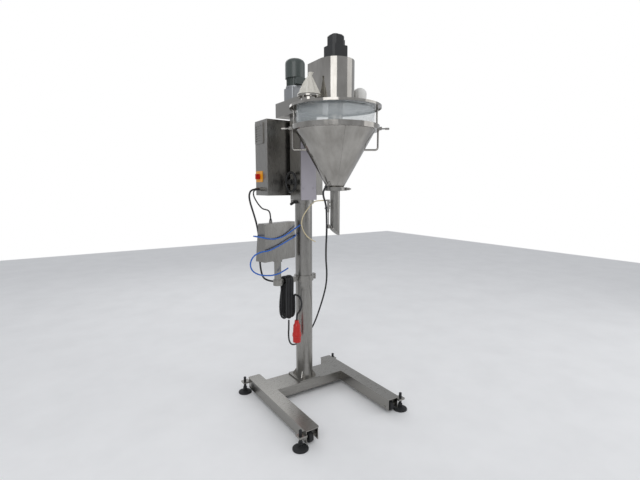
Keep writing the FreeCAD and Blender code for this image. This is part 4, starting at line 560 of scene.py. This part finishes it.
class FILLER_OT_seam(bpy.types.Operator):
    """Run the weld bead down the hopper's cone"""
    bl_idname = "filler.seam"
    bl_label = "Weld seam"

    def execute(self, context):
        ends = []
        for radius, height in (SEAM_TOP, SEAM_FOOT):
            ends.append(Vector((radius * math.cos(SEAM_TURN),
                                radius * math.sin(SEAM_TURN) + HOPPER_Y + COLUMN_Y, height)))
        run = ends[1] - ends[0]
        deselect()
        bpy.ops.mesh.primitive_cylinder_add(vertices=10, radius=BEAD_RADIUS, depth=run.length,
                                            location=(0, 0, 0))
        bead = bpy.context.object
        bpy.ops.object.mode_set(mode="EDIT")
        bpy.ops.mesh.select_all(action="SELECT")
        bpy.ops.mesh.subdivide(number_cuts=6, smoothness=0)
        bpy.ops.object.mode_set(mode="OBJECT")
        for point in bead.data.vertices:
            ripple = 1 + 0.12 * math.sin(point.co.z * BEAD_RIPPLES)
            point.co.x *= ripple
            point.co.y *= ripple * BEAD_FLATNESS
        bead.data.transform(run.to_track_quat("Z", "Y").to_matrix().to_4x4())
        bead.location = (ends[0] + ends[1]) / 2
        settle(bead, "hopper_weld_bead", "carriage", "cross_brushed_304_stainless")
        return {"FINISHED"}


class FILLER_OT_finishes(bpy.types.Operator):
    """Give every fixed piece the finish of its real material"""
    bl_idname = "filler.finishes"
    bl_label = "Finishes"

    def execute(self, context):
        made = finishes()
        for row in frame["record"]["subparts"]:
            node = frame["nodes"][row["node"]]
            name = FINISH_OF_SLOT[row["material_slot"]]
            if row["node"] in LEVEL_GRAIN and name == "brushed_304_stainless":
                name = "cross_brushed_304_stainless"
            if row["node"] == "sleeve_plate":
                name = "lilac_grey_powder_coat"
            if not node.material_slots:
                node.data.materials.append(made[name])
            for place in node.material_slots:
                place.link = "OBJECT"
                place.material = made[name]
        return {"FINISHED"}


def lamp(name, power, size, place, target):
    """A soft rectangular lamp aimed at a target."""
    data = bpy.data.lights.new(name, "AREA")
    data.energy = power
    data.shape = "RECTANGLE"
    data.size, data.size_y = size
    light = bpy.data.objects.new(name, data)
    bpy.context.scene.collection.objects.link(light)
    light.location = place
    light.rotation_euler = (Vector(target) - Vector(place)).to_track_quat("-Z", "Y").to_euler()


class FILLER_OT_stage(bpy.types.Operator):
    """Lay the floor and hang the lamps"""
    bl_idname = "filler.stage"
    bl_label = "Stage"

    def execute(self, context):
        settings = context.scene.filler_stage
        deselect()
        bpy.ops.mesh.primitive_plane_add(size=FLOOR_SIZE, location=(0, 0, FLOOR_Z))
        floor = context.object
        floor.name = "floor"
        material, tree, shader = blank("pale_floor")
        mottled(tree, shader, settings.floor, "#fafafa", 3.0, (1, 1, 1), (0.6, 0.7), 0.0, 0.001)
        floor.data.materials.append(material)
        lamp("key_lamp", settings.key, (2.6, 2.6), (-2.6, -2.6, 3.4), (0, 0, 1.0))
        lamp("fill_lamp", settings.fill, (2.4, 3.0), (3.0, -2.0, 2.2), (0, 0, 1.0))
        lamp("back_lamp", settings.fill, (2.4, 2.4), (0.5, 3.2, 3.2), (0, 0, 1.2))
        world = bpy.data.worlds.new("studio")
        context.scene.world = world
        world.use_nodes = True
        tree = world.node_tree
        tree.nodes.clear()
        path = add_node(tree, "ShaderNodeLightPath")
        soft = add_node(tree, "ShaderNodeBackground", {"Color": linear("#d8dade"), "Strength": 0.80})
        white = add_node(tree, "ShaderNodeBackground", {"Color": linear("#ffffff"), "Strength": 1.0})
        mix = add_node(tree, "ShaderNodeMixShader",
                       links={0: (path, "Is Camera Ray"), 1: (soft, "Background"), 2: (white, "Background")})
        add_node(tree, "ShaderNodeOutputWorld", links={"Surface": (mix, "Shader")})
        context.scene.view_settings.view_transform = "Standard"
        return {"FINISHED"}


class FILLER_PT_panel(bpy.types.Panel):
    """Lists the makers of the machine's pieces"""
    bl_idname = "FILLER_PT_panel"
    bl_label = "Auger powder filler"
    bl_space_type = "VIEW_3D"
    bl_region_type = "UI"
    bl_category = "Filler"

    def draw(self, context):
        for group in (context.scene.filler_sizes, context.scene.filler_stage):
            for key in group.bl_rna.properties.keys():
                if key not in ("rna_type", "name"):
                    self.layout.prop(group, key)
        for operator in OPERATORS:
            self.layout.operator(operator.bl_idname)


OPERATORS = (FILLER_OT_camera, FILLER_OT_cords, FILLER_OT_hank, FILLER_OT_bags, FILLER_OT_boots,
             FILLER_OT_seam, FILLER_OT_finishes, FILLER_OT_stage)
CLASSES = (FillerSizes, FillerStage) + OPERATORS + (FILLER_PT_panel,)


def register():
    """Register the classes and hang the settings on the scene."""
    for item in CLASSES:
        bpy.utils.register_class(item)
    bpy.types.Scene.filler_sizes = bpy.props.PointerProperty(type=FillerSizes)
    bpy.types.Scene.filler_stage = bpy.props.PointerProperty(type=FillerStage)


def unregister():
    """Undo register()."""
    del bpy.types.Scene.filler_stage
    del bpy.types.Scene.filler_sizes
    for item in reversed(CLASSES):
        bpy.utils.unregister_class(item)


def main():
    """Dress the machine."""
    register()
    bpy.ops.filler.camera()
    bpy.ops.filler.cords()
    bpy.ops.filler.hank()
    bpy.ops.filler.bags()
    bpy.ops.filler.boots()
    bpy.ops.filler.seam()
    bpy.ops.filler.finishes()
    bpy.ops.filler.stage()
    bpy.context.view_layer.update()


if __name__ == "__main__":
    main()
